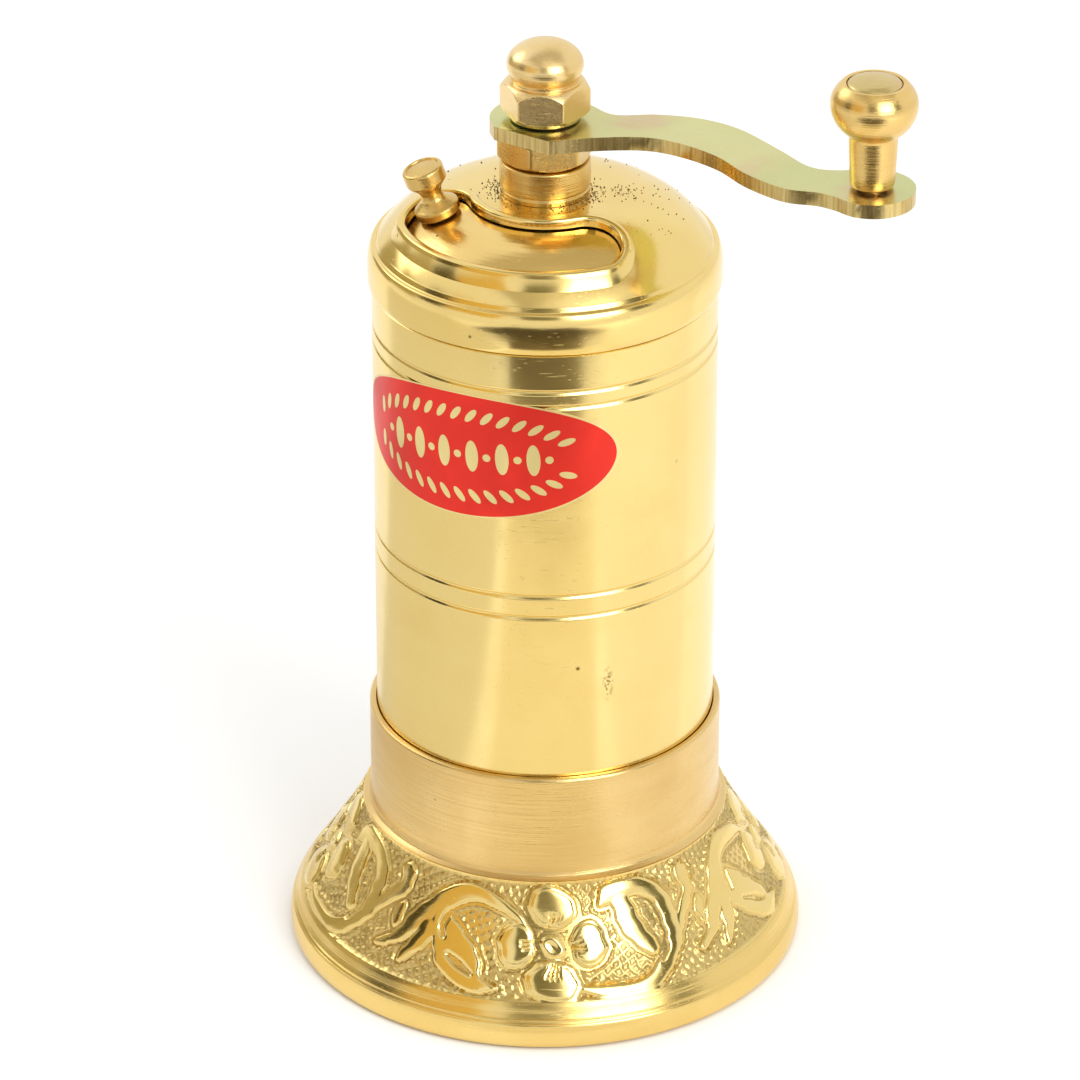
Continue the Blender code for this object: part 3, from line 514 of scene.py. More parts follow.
def turning_group() -> Tree:
    """Fine lines left by turning: level on walls and in rings on ends.

    Returns:
        A group that puts out a height and the same lines as a mask.
    """
    group = Group("turning_lines", {"Per metre": 5000.0, "Wander": 60.0}, ("Height", "Coarse"))
    tree, entry = group.tree, group.entry
    split = group.node("SeparateXYZ", Vector=entry.outputs["Place"])
    x, y, z = split.outputs
    squares = group.math("ADD", group.math("MULTIPLY", x, x), group.math("MULTIPLY", y, y))
    radius = group.math("SQRT", squares)
    fine = entry.outputs["Per metre"]
    slow = group.math("MULTIPLY", group.math("ADD", x, y), entry.outputs["Wander"])
    across, up = group.math("MULTIPLY", radius, fine), group.math("MULTIPLY", z, fine)
    place = group.node("CombineXYZ", X=across, Y=up, Z=slow)
    lines = group.node("TexNoise", Vector=place.outputs[0], Scale=1.0, Detail=3.0, Roughness=0.6)
    rough_place = group.node("VectorMath", Vector=place.outputs[0])
    rough_place.operation = "MULTIPLY"
    rough_place.inputs[1].default_value = (0.18, 0.18, 1.0)
    bands = group.node("TexNoise", Vector=rough_place.outputs[0], Scale=1.0, Detail=2.0)
    tree.links.new(lines.outputs["Fac"], group.exit.inputs["Height"])
    tree.links.new(bands.outputs["Fac"], group.exit.inputs["Coarse"])
    return tree


def handling_group() -> Tree:
    """Marks of use: soft smudges, hair scratches and small dark pits.

    Returns:
        A group that puts out one mask for each.
    """
    group = Group("handling", {"Size": 60.0}, ("Smudge", "Scratch", "Pit"))
    tree, entry = group.tree, group.entry
    where = entry.outputs["Place"]
    smudge = group.node(
        "TexNoise", Vector=where, Scale=entry.outputs["Size"], Detail=4.0, Distortion=0.6
    )
    tree.links.new(
        spread(tree, smudge.outputs["Fac"], 0.35, 0.7, 0.0, 1.0), group.exit.inputs["Smudge"]
    )
    hair = []
    for turn, stretch in ((0.5, 26.0), (-0.9, 18.0)):
        turned = group.node("Mapping", Vector=where)
        turned.inputs["Rotation"].default_value = (turn, 0.3, turn * 0.7)
        turned.inputs["Scale"].default_value = (1.0, stretch, stretch)
        noise = group.node("TexNoise", Vector=turned.outputs[0], Scale=150.0, Detail=2.0)
        hair.append(spread(tree, noise.outputs["Fac"], 0.69, 0.74, 0.0, 1.0))
    tree.links.new(group.math("MAXIMUM", *hair), group.exit.inputs["Scratch"])
    spots = group.node("TexVoronoi", Vector=where, Scale=300.0)
    some = group.node("TexNoise", Vector=where, Scale=90.0)
    dot = spread(tree, spots.outputs["Distance"], 0.05, 0.11, 1.0, 0.0)
    kept = spread(tree, some.outputs["Fac"], 0.62, 0.68, 0.0, 1.0)
    tree.links.new(group.math("MULTIPLY", dot, kept), group.exit.inputs["Pit"])
    return tree


@dataclass(frozen=True)
class Metal:
    """A metal finish with turning lines and marks of use.

    The shade is the colour of worn places. The depths and weights from smudge_tint to bump_distance
    say how much each mask does.
    """

    name: str
    colour: Colour
    shade: Colour
    roughness: float
    line_depth: float = 0.25
    lines_per_metre: float = 5000.0
    wave_depth: float = 0.0
    smudge_rough: float = 0.10
    pit_dark: float = 0.5
    streak: float = 0.35
    centre: tuple[float, float] = (0.0, 0.0)
    smudge_tint: float = 0.45
    scratch_rough: float = 0.12
    scratch_depth: float = 0.18
    pit_share: float = 0.12
    bump_strength: float = 0.35
    bump_distance: float = 0.00006

    def build(self, groups: dict[str, Tree]) -> Material:
        """Make the material.

        Args:
            groups: The shared shader groups by name.

        Returns:
            A node material that reads Object coordinates.
        """
        made, tree, shader = new_material(self.name)
        shader.inputs["Metallic"].default_value = 1.0
        place = self.place(tree)
        turning = place_group(tree, groups["turning"], place)
        turning.inputs["Per metre"].default_value = self.lines_per_metre
        smudge, scratch, pit = place_group(tree, groups["handling"], place).outputs
        smudged = times(tree, smudge, self.smudge_tint)
        streaked = times(tree, turning.outputs["Coarse"], self.streak)
        worn = blend(tree, plus(tree, smudged, streaked), self.colour, self.shade)
        pit_colour = tuple(self.pit_share * c for c in self.shade)
        pitted = blend(tree, times(tree, pit, self.pit_dark), worn, pit_colour)
        tree.links.new(self.recolour(tree, pitted), shader.inputs["Base Color"])
        rough = times(tree, smudge, self.smudge_rough)
        rough = plus(tree, rough, self.roughness)
        scuffed = times(tree, scratch, self.scratch_rough)
        rough = plus(tree, rough, scuffed)
        tree.links.new(self.roughen(tree, rough), shader.inputs["Roughness"])
        height = times(tree, turning.outputs["Height"], self.line_depth)
        scored = times(tree, scratch, self.scratch_depth)
        height = add_math(tree, "SUBTRACT", height, scored)
        if self.wave_depth:
            drawn = add_node(tree, "Mapping", Vector=place)
            drawn.inputs["Scale"].default_value = (1.0, 1.0, 0.12)
            wave = add_node(tree, "TexNoise", Vector=drawn.outputs[0], Scale=150.0, Detail=2.0)
            waved = times(tree, wave.outputs["Fac"], self.wave_depth)
            height = plus(tree, height, waved)
        bumped(tree, shader, height, self.bump_strength, self.bump_distance)
        return made

    def place(self, tree: Tree) -> Socket:
        """Object coordinates, centred on the piece's own axis."""
        coords = add_node(tree, "TexCoord")
        centred = add_node(tree, "Mapping", Vector=coords.outputs["Object"])
        centred.inputs["Location"].default_value = (-self.centre[0] * MM, -self.centre[1] * MM, 0.0)
        return centred.outputs[0]

    def recolour(self, tree: Tree, colour) -> Socket:
        """Hook for finishes that colour recesses or patches."""
        return colour

    def roughen(self, tree: Tree, rough) -> Socket:
        """Hook for finishes that roughen recesses."""
        return rough


@dataclass(frozen=True)
class EngravedMetal(Metal):
    """A finish whose recesses, kept in the mesh's relief attribute, are rough and darkened with
    painted shade.
    """

    # The recesses' painted shade: its colour and how strongly it is laid on.
    recess_shade: Colour = (0.42, 0.30, 0.11)
    recess_shade_tint: float = 0.55
    recess_rough: float = 0.16

    def relief(self, tree: Tree) -> Socket:
        """How deep the surface is cut, from 0 on the polished top to 1 in a recess."""
        made = tree.nodes.new("ShaderNodeAttribute")
        made.attribute_name = "relief"
        return made.outputs["Fac"]

    def recolour(self, tree: Tree, colour) -> Socket:
        """Paint shade into the recesses."""
        depth = times(tree, self.relief(tree), self.recess_shade_tint)
        return blend(tree, depth, colour, self.recess_shade)

    def roughen(self, tree: Tree, rough) -> Socket:
        """Roughen the recesses."""
        depth = times(tree, self.relief(tree), self.recess_rough)
        return plus(tree, rough, depth)


@dataclass(frozen=True)
class ScuffedMetal(Metal):
    """A polished finish with one rubbed patch and one dark spot."""

    scuff: tuple[float, float, float] = (10.0, -25.6, 58.3)
    spot: tuple[float, float, float] = (5.2, -27.0, 61.7)
    dirt: Colour = (0.20, 0.13, 0.03)

    def near(
        self, tree: Tree, centre: tuple, squash: float, size: float
    ) -> Socket:
        """A mask that is 1 at a place and 0 beyond a distance, longer along Z by squash."""
        coords = add_node(tree, "TexCoord")
        scaled = add_node(tree, "Mapping", Vector=coords.outputs["Object"])
        scaled.inputs["Scale"].default_value = (1.0, 1.0, 1.0 / squash)
        away = tree.nodes.new("ShaderNodeVectorMath")
        away.operation = "DISTANCE"
        tree.links.new(scaled.outputs[0], away.inputs[0])
        away.inputs[1].default_value = (centre[0] * MM, centre[1] * MM, centre[2] * MM / squash)
        return spread(tree, away.outputs["Value"], 0.35 * size * MM, size * MM, 1.0, 0.0)

    def recolour(self, tree: Tree, colour) -> Socket:
        """Darken the patch and the spot."""
        coords = add_node(tree, "TexCoord")
        place = coords.outputs["Object"]
        noise = add_node(tree, "TexNoise", Vector=place, Scale=1400.0, Detail=2.0)
        broken = spread(tree, noise.outputs["Fac"], 0.48, 0.56, 0.0, 0.75)
        patch = times(tree, self.near(tree, self.scuff, 3.2, 1.1), broken)
        marks = add_math(tree, "MAXIMUM", patch, self.near(tree, self.spot, 1.0, 0.45))
        return blend(tree, marks, colour, self.dirt)


@dataclass(frozen=True)
class PassivatedMetal(Metal):
    """Plate with a yellow, green and pink cast, and side walls in a bronze sheared-edge tone
    darkened with painted shade.
    """

    green: Colour = (0.56, 0.61, 0.27)
    pink: Colour = (0.72, 0.47, 0.30)
    # Side-wall colours: the edge colour is a sheared-edge tone darkened as painted shade; the torn
    # edge colour gives lighter sheared streaks.
    edge: Colour = (0.50, 0.36, 0.13)
    torn_edge: Colour = (0.74, 0.58, 0.25)

    def recolour(self, tree: Tree, colour) -> Socket:
        """Lay soft patches of green and pink over the plate, and paint its side walls darker with
        painted shade and sheared streaks.
        """
        place = add_node(tree, "TexCoord").outputs["Object"]
        broad = add_node(tree, "TexNoise", Vector=place, Scale=55.0, Detail=2.0)
        fine = add_node(tree, "TexNoise", Vector=place, Scale=85.0, Detail=3.0)
        green_mask = spread(tree, broad.outputs["Fac"], 0.45, 0.65, 0.0, 0.6)
        pink_mask = spread(tree, fine.outputs["Fac"], 0.56, 0.70, 0.0, 0.6)
        greened = blend(tree, green_mask, colour, self.green)
        warmed = blend(tree, pink_mask, greened, self.pink)
        # Faces that turn sideways take the side-wall colours: painted shade chosen by facing.
        surface = add_node(tree, "NewGeometry")
        split = add_node(tree, "SeparateXYZ", Vector=surface.outputs["True Normal"])
        level = add_math(tree, "ABSOLUTE", split.outputs["Z"])
        sheared = add_node(tree, "Mapping", Vector=place)
        sheared.inputs["Scale"].default_value = (1.0, 1.0, 0.05)
        tears = add_node(tree, "TexNoise", Vector=sheared.outputs[0], Scale=2200.0, Detail=2.0)
        tear_mask = spread(tree, tears.outputs["Fac"], 0.35, 0.65, 0.0, 1.0)
        shaded_torn_sides = blend(tree, tear_mask, self.edge, self.torn_edge)
        return blend(tree, spread(tree, level, 0.2, 0.6, 0.0, 1.0), shaded_torn_sides, warmed)


@dataclass(frozen=True)
class Foil:
    """Printed foil: a coloured lacquer over a bright sheet."""

    name: str
    colour: Colour
    roughness: float
    metallic: float
    rubbed_share: float = 0.72
    smudge_rough: float = 0.12

    def build(self, groups: dict[str, Tree]) -> Material:
        """Make the material, with rubbed roughness and a fine crinkle."""
        made, tree, shader = new_material(self.name)
        shader.inputs["Metallic"].default_value = self.metallic
        shader.inputs["Coat Roughness"].default_value = 0.2
        place = add_node(tree, "TexCoord").outputs["Object"]
        smudge = place_group(tree, groups["handling"], place).outputs["Smudge"]
        rubbed = tuple(self.rubbed_share * c for c in self.colour)
        tree.links.new(blend(tree, smudge, self.colour, rubbed), shader.inputs["Base Color"])
        rough = times(tree, smudge, self.smudge_rough)
        tree.links.new(plus(tree, rough, self.roughness), shader.inputs["Roughness"])
        crinkle = add_node(tree, "TexNoise", Vector=place, Scale=700.0, Detail=2.0)
        bumped(tree, shader, crinkle.outputs["Fac"], 0.15, 0.00003)
        return made


@dataclass(frozen=True)
class PepperSkin:
    """Crumbs of ground pepper, from pale husk to black skin."""

    name: str = "pepper_crumb"
    dark: Colour = (0.09, 0.05, 0.02)
    pale: Colour = (0.42, 0.27, 0.12)

    def build(self, groups: dict[str, Tree]) -> Material:
        """Make the material."""
        made, tree, shader = new_material(self.name)
        shader.inputs["Roughness"].default_value = 0.8
        place = add_node(tree, "TexCoord").outputs["Object"]
        noise = add_node(tree, "TexNoise", Vector=place, Scale=1500.0, Detail=2.0).outputs["Fac"]
        mottled = blend(tree, spread(tree, noise, 0.45, 0.65, 0.0, 1.0), self.dark, self.pale)
        tree.links.new(mottled, shader.inputs["Base Color"])
        bumped(tree, shader, noise, 0.5, 0.0001)
        return made


# ---- Receiver -----------------------------------------------------------------------------------


@dataclass
class Engraving:
    """Flowers and S-shaped vines cut round the bell, four of each.

    Places are millimetres on the bell's wall rolled out at its mean radius, from a flower's centre.
    Strokes and cuts are rows of (along, up, half width), petals are (along, up, half length, half
    height).
    """

    mean_radius: float = 36.0
    repeats: int = 4
    front_deg: float = -88.0
    flower_height: float = 9.0
    strokes: tuple = (
        ((4.6, -6.9, 0.6), (8.3, -8.1, 1.1), (13.0, -8.0, 1.2), (16.8, -6.8, 1.3),
         (19.8, -4.2, 1.5), (21.5, -0.8, 1.6), (21.5, 3.0, 1.7), (19.8, 6.0, 1.7),
         (17.0, 7.9, 1.5), (13.5, 8.1, 1.6), (10.6, 7.3, 1.6), (8.7, 5.8, 0.5)),
        ((12.7, 6.3, 2.1), (13.6, 3.4, 2.1), (15.0, 0.4, 2.0), (16.8, -2.4, 1.2)),
        ((-4.9, 3.6, 0.4), (-8.6, 6.2, 1.0), (-13.6, 7.4, 1.4), (-18.5, 6.6, 1.8),
         (-21.8, 4.0, 1.9), (-24.7, 0.6, 1.6), (-27.4, -3.0, 1.3), (-30.4, -5.0, 0.7)),
        ((-21.7, 0.7, 1.6), (-23.8, -3.6, 1.3), (-25.4, -6.5, 0.5)),
        ((-20.4, 3.2, 1.6), (-17.6, -1.0, 3.2), (-14.8, -4.2, 3.2), (-12.4, -6.6, 1.8),
         (-8.8, -6.9, 0.3)),
        ((27.0, 7.4, 1.8), (26.9, 4.6, 1.4), (24.0, 1.2, 1.0), (21.6, -2.0, 0.8)),
        ((27.9, -0.9, 0.9), (28.1, 0.8, 1.3), (28.4, 2.2, 0.8)),
    )
    cuts: tuple = (
        ((-17.5, -2.9, 0.25), (-15.1, -4.3, 0.45), (-12.8, -5.4, 0.25)),
        ((-19.0, 0.0, 0.3), (-19.4, 2.2, 0.5), (-18.0, 4.2, 0.5), (-15.6, 5.0, 0.4)),
        ((16.0, 5.6, 0.4), (16.5, 4.0, 0.8), (17.3, 2.2, 0.4)),
        ((18.4, -0.6, 0.3), (19.2, -2.6, 0.4), (18.2, -4.4, 0.4)),
    )
    petals: tuple = (
        (0.0, 6.3, 4.6, 3.5), (0.0, -5.8, 4.5, 3.6), (6.1, 0.2, 3.3, 3.9), (-6.1, 0.2, 3.3, 3.9),
    )
    disc_radius: float = 2.2
    depth: float = 0.45

    def chain(self, u: np.ndarray, w: np.ndarray, points: tuple) -> np.ndarray:
        """Signed distance to a smooth stroke of changing width.

        Args:
            u: Places along the wall.
            w: Places up the wall.
            points: (u, w, half width) along the stroke.

        Returns:
            Distance outside the stroke, negative inside.
        """
        middle = smooth_line([point[:2] for point in points], 4)
        width = smooth_line([(k, point[2]) for k, point in enumerate(points)], 4)
        path = [(*place, half[1]) for place, half in zip(middle, width)]
        best = np.full(u.shape, 1e3)
        for (u0, w0, r0), (u1, w1, r1) in zip(path, path[1:]):
            du, dw = u1 - u0, w1 - w0
            t = np.clip(((u - u0) * du + (w - w0) * dw) / (du * du + dw * dw), 0.0, 1.0)
            away = np.hypot(u - u0 - t * du, w - w0 - t * dw)
            best = np.minimum(best, away - (r0 + (r1 - r0) * t))
        return best

    def nearest(self, u: np.ndarray, w: np.ndarray, strokes: tuple) -> np.ndarray:
        """Signed distance to the nearest of some strokes, here or in the next repeats."""
        full = 2 * math.pi / self.repeats * self.mean_radius
        return np.minimum.reduce(
            [self.chain(u + shift, w, stroke) for stroke in strokes for shift in (-full, 0.0, full)]
        )

    def relief(
        self, angle: np.ndarray, height: np.ndarray, wall: float
    ) -> tuple[np.ndarray, np.ndarray]:
        """Height of the cut surface.

        Args:
            angle: Direction of each point, in radians.
            height: Its place up the wall, in millimetres from the engraving's lower edge.
            wall: The wall's length.

        Returns:
            The offset along the wall's normal, and the mask of the rough recesses, where the finish
            later paints shade.
        """
        pitch = 2 * math.pi / self.repeats
        turn = (angle - math.radians(self.front_deg) + pitch / 2) % (2 * math.pi)
        unit = np.floor(turn / pitch)
        u = (turn % pitch - pitch / 2) * self.mean_radius
        w = height - self.flower_height
        u = u + 0.22 * np.sin(w * 0.9 + unit * 2.1) + 0.12 * np.sin(w * 2.3 + unit)
        w = w + 0.22 * np.sin(u * 0.55 + unit * 1.7)
        cuts = self.nearest(u, w, self.cuts)
        vines = np.maximum(self.nearest(u, w, self.strokes), -cuts)
        petals = [
            (np.hypot((u - pu) / ru, (w - pw) / rw) - 1.0) * min(ru, rw)
            for pu, pw, ru, rw in self.petals
        ]
        flower = np.minimum.reduce(petals)
        disc = np.hypot(u, w)
        shape = np.minimum(np.minimum(vines, flower), disc - self.disc_radius)
        raised = 1.0 / (1.0 + np.exp(shape / 0.11))
        dome = 0.10 * np.clip(-shape / 1.4, 0.0, 1.0) ** 0.6
        dome += 0.22 * (1.0 - np.clip(1.0 + flower / 3.2, 0.0, 1.0) ** 2) * (flower < 0.0)
        offset = self.depth * (raised - 1.0) + dome * raised
        offset += self.background(u, w, shape) * (1.0 - raised)
        offset -= self.veins(u, w, flower, disc) * raised
        edge = np.clip(np.minimum(height, wall - height) / 0.8, 0.0, 1.0)
        edge = edge * edge * (3 - 2 * edge)
        return offset * edge, (1.0 - raised) * edge

    def background(self, u: np.ndarray, w: np.ndarray, shape: np.ndarray) -> np.ndarray:
        """Crossed hatching, punch marks and the wriggled line that follows every edge."""
        first = np.abs(np.sin((u * 0.90 + w * 0.43) * math.pi / 1.35))
        second = np.abs(np.sin((u * 0.55 - w * 0.83) * math.pi / 1.35))
        hatch = 0.34 * (np.minimum(first, second) ** 0.6) - 0.08
        punch = np.sin(u * 6.3 + 2 * np.sin(w * 3.1)) * np.sin(w * 5.7 + 2 * np.sin(u * 2.9))
        wriggle = hump(shape, 0.75, 0.3) * (0.30 + 0.14 * np.sin(u * 4.1 + w * 3.3))
        groove = -0.16 * hump(shape, 0.25, 0.18)
        return hatch * np.clip((shape - 0.4) / 0.8, 0.0, 1.0) + 0.08 * punch + wriggle + groove

    def veins(
        self, u: np.ndarray, w: np.ndarray, flower: np.ndarray, disc: np.ndarray
    ) -> np.ndarray:
        """Cuts inside the flower: rays in the petals, and a ring round the disc."""
        bearing = np.arctan2(w, u)
        rays = np.clip(np.cos(bearing * 4.0), 0.0, 1.0) ** 2
        comb = 0.5 + 0.5 * np.cos(bearing * 44.0)
        in_petal = np.clip((5.6 - disc) / 0.8, 0.0, 1.0) * np.clip((disc - 2.4) / 0.3, 0.0, 1.0)
        depth = 0.34 * comb * rays * in_petal
        depth += 0.34 * hump(disc, 2.0, 0.28) + 0.2 * np.clip(1.3 - disc, 0.0, 1.0)
        return depth + 0.14 * hump(flower, -0.5, 0.16) * (disc > 3.6)


@dataclass
class Receiver:
    """The bell that stays on the table, its floor and the band on its neck."""

    foot_r: float = 42.4
    shoulder_r: float = 40.1
    shoulder_h: float = 7.4
    top_r: float = 30.0
    top_h: float = 24.0
    flare: float = 1.17
    wall: float = 2.2
    skin_wall: float = 1.3
    throat_r: float = 26.3
    socket_r: float = 29.0
    socket_h: float = 20.0
    floor_r: float = 38.0
    floor_t: float = 1.2
    band_r: float = 28.7
    band_bore: float = 27.64
    band_top: float = 42.2
    band_foot: float = 20.3
    ledge_top: float = 22.2
    columns: int = 1080
    flare_rows: int = 82
    engraving: Engraving = field(default_factory=Engraving)

    def radius(self, height: np.ndarray) -> np.ndarray:
        """The flare's outer radius at a height."""
        share = (self.top_h - height) / (self.top_h - self.shoulder_h)
        return self.top_r + (self.shoulder_r - self.top_r) * share**self.flare

    def bell(self) -> Object:
        """The bell, with its engraving cut into the flare."""
        z = np.linspace(self.top_h, self.shoulder_h, self.flare_rows + 1)
        r = self.radius(z)
        along = np.concatenate([[0.0], np.cumsum(np.hypot(np.diff(r), np.diff(z)))])
        tangent = np.stack([np.gradient(r), np.gradient(z)], -1)
        tangent /= np.linalg.norm(tangent, axis=1)[:, None]
        normal = np.stack([-tangent[:, 1], tangent[:, 0]], -1)
        angle = np.linspace(0.0, 2 * math.pi, self.columns, endpoint=False)
        grid_angle = np.broadcast_to(angle, (len(z), self.columns))
        up = np.broadcast_to((along[-1] - along)[:, None], grid_angle.shape)
        offset, recess_shade = self.engraving.relief(grid_angle, up, float(along[-1]))
        radii = r[:, None] + offset * normal[:, :1]
        heights = z[:, None] + offset * normal[:, 1:]
        skin, ones = self.skin_wall, np.ones(self.columns)
        back_r = np.outer([self.shoulder_r - skin, self.top_r - skin], ones)
        back_z = np.outer([self.shoulder_h - GAP, self.top_h], ones)
        all_r, all_z = np.vstack([radii, back_r]), np.vstack([heights, back_z])
        rows = np.stack([all_r * np.cos(angle), all_r * np.sin(angle), all_z], -1)
        bell = grid_piece("engraved_bell", rows)
        # The recess mask goes into the relief attribute, where the engraved finish paints shade
        # into the recesses and roughens them.
        mask = np.zeros(all_r.shape, np.float32)
        mask[: len(z)] = recess_shade
        attribute = bell.data.attributes.new("relief", "FLOAT", "POINT")
        attribute.data.foreach_set("value", mask.ravel())
        return bell

    def rim(self) -> Object:
        """The bell's foot rim and inner walls, under the engraved skin."""
        foot = smooth_line(
            [
                (self.shoulder_r + 0.02, self.shoulder_h - 0.02), (self.shoulder_r + 0.45, 6.85),
                (40.95, 6.1), (41.3, 5.5), (41.55, 5.15), (41.38, 4.95), (41.6, 4.75),
                (41.86, 4.45), (41.76, 4.3), (41.96, 4.1), (42.15, 3.5), (42.32, 2.7),
                (self.foot_r, 1.6), (42.3, 0.7), (42.0, 0.2), (41.4, 0.0),
            ],
            2,
        )
        ledge = self.socket_h - self.wall
        seat_r, seat_h = self.floor_r + GAP, self.floor_t + GAP
        top = self.top_h - 0.1
        inner = [
            (seat_r, 0.0), (seat_r, seat_h), (self.floor_r - 1.0, seat_h),
            (self.shoulder_r - self.wall, self.shoulder_h),
            (float(self.radius(np.array(ledge))) - self.wall - 1.0, ledge),
            (self.throat_r, ledge), (self.throat_r, self.socket_h),
            (self.socket_r, self.socket_h), (self.socket_r, top),
            (self.top_r - 0.9, top), (self.shoulder_r - 0.8, self.shoulder_h - 0.1),
        ]
        return lathe("bell_rim", foot + inner, 360)

    def floor(self) -> Object:
        """The disc that closes the foot."""
        edge = self.floor_r
        profile = [(0.0, self.floor_t)] + rounded(
            [(edge, self.floor_t, 0.2), (edge, 0.0, 0.2), (0.0, 0.0, 0.0)]
        )
        return lathe("foot_disc", profile, 96, poles=True)

    def band(self) -> Object:
        """The satin band, with the small chamfer at its top."""
        bore, r, top, neck = self.band_bore, self.band_r, self.band_top, self.top_h
        profile = rounded(
            [
                (bore, top, 0.12), (r - 0.35, top, 0.15), (r, top - 0.4, 0.2), (r, neck + 1.1, 0.4),
                (r + 0.25, neck + 0.45, 0.2), (self.top_r - 0.45, neck + 0.12, 0.2),
                (self.top_r - 0.2, neck + 0.02, 0.0), (r + 0.1, neck, 0.0),
                (r - 0.12, neck - 0.3, 0.0), (r - 0.12, self.band_foot, 0.1),
                (self.throat_r, self.band_foot, 0.2), (self.throat_r, self.ledge_top, 0.2),
                (bore, self.ledge_top, 0.1),
            ]
        )
        return lathe("satin_band", profile, 256)

    def build(self, finishes: Finishes) -> None:
        """Make and place the receiver's pieces."""
        dress(self.bell(), finishes["engraved"], Body.BASE, ("base_bell",), 60.0)
        dress(self.rim(), finishes["rim"], Body.BASE)
        dress(self.floor(), finishes["satin"], Body.BASE, ("base_floor",))
        dress(self.band(), finishes["band"], Body.BASE, ("collar_band",))


# ---- Body, cap and door -------------------------------------------------------------------------


@dataclass
class Dome:
    """The cap's crown: almost flat in the middle and steep at its foot."""

    foot_r: float = 26.6
    foot_h: float = 124.5
    rise: float = 8.4
    power: float = 4.2

    def height(self, radius: float) -> float:
        """Height of the crown at a radius."""
        return self.foot_h + self.rise * (1.0 - min(radius / self.foot_r, 1.0) ** self.power)

    def slope(self, radius: float) -> float:
        """Fall of the crown for each millimetre outwards."""
        return self.rise * self.power / self.foot_r * (radius / self.foot_r) ** (self.power - 1.0)

    def under(self, radius: float, depth: float) -> tuple[float, float]:
        """The point that lies depth below the crown, square to it."""
        slope = self.slope(radius)
        length = math.hypot(slope, 1.0)
        return radius - depth * slope / length, self.height(radius) - depth / length

    def line(self, inner: float, outer: float, depth: float, count: int) -> Profile:
        """Points under the crown between two radii, closer together outwards."""
        shares = [math.sin(math.pi / 2 * i / count) for i in range(count + 1)]
        return [self.under(inner + (outer - inner) * share, depth) for share in shares]


@dataclass
class Slot:
    """The kidney-shaped fill slot and the rolled lip round it."""

    middle_r: float = 17.35
    half_width: float = 5.05
    start_deg: float = 195.0
    end_deg: float = 293.0
    lip_height: float = 0.6

    def outline(self, steps: int) -> Profile:
        """The slot's edge, anticlockwise from above."""
        half = self.half_width
        end = polar(self.middle_r, self.end_deg)
        start = polar(self.middle_r, self.start_deg)
        out = arc(self.middle_r + half, self.start_deg, self.end_deg, steps)
        out += arc(half, self.end_deg, self.end_deg + 180.0, steps // 2, end)[1:]
        out += arc(self.middle_r - half, self.end_deg, self.start_deg, steps)[1:]
        out += arc(half, self.start_deg + 180.0, self.start_deg + 360.0, steps // 2, start)[1:-1]
        return out

    def lip(self, dome: Dome) -> Object:
        """The rolled lip, level across its top, so that it is tall where the crown falls away."""
        edge = np.array(self.outline(72))
        ahead = np.roll(edge, -1, 0) - np.roll(edge, 1, 0)
        ahead /= np.linalg.norm(ahead, axis=1)[:, None]
        outward = np.stack([ahead[:, 1], -ahead[:, 0]], -1)
        roll = ((0.0, -0.9), (0.0, 0.05), (0.05, 0.30), (0.16, 0.46), (0.36, 0.57), (0.66, 0.6),
                (0.96, 0.58), (1.22, 0.48), (1.42, 0.32))
        rings = []
        for point, out in zip(edge, outward):
            base = dome.height(float(np.hypot(*point)))
            ring = [(d, base + h * self.lip_height / 0.6) for d, h in roll]
            start_d, start_z = ring[-1]
            fall = start_z - dome.height(float(np.hypot(*(point + out * (start_d + 0.7)))))
            reach = 0.35 + 0.33 * max(fall, 0.0)
            foot = dome.height(float(np.hypot(*(point + out * (start_d + reach))))) - 0.06
            for t in (0.2, 0.45, 0.7, 0.9, 1.0):
                ease = 1.0 - (1.0 - t) ** 1.25
                ring.append((start_d + reach * t, start_z + (foot - start_z) * ease))
            ring.append((start_d + reach, foot - 0.35))
            rings.append([(*(point + out * d), z) for d, z in ring])
        rows = np.array(rings).transpose(1, 0, 2)
        return grid_piece("slot_lip", rows)


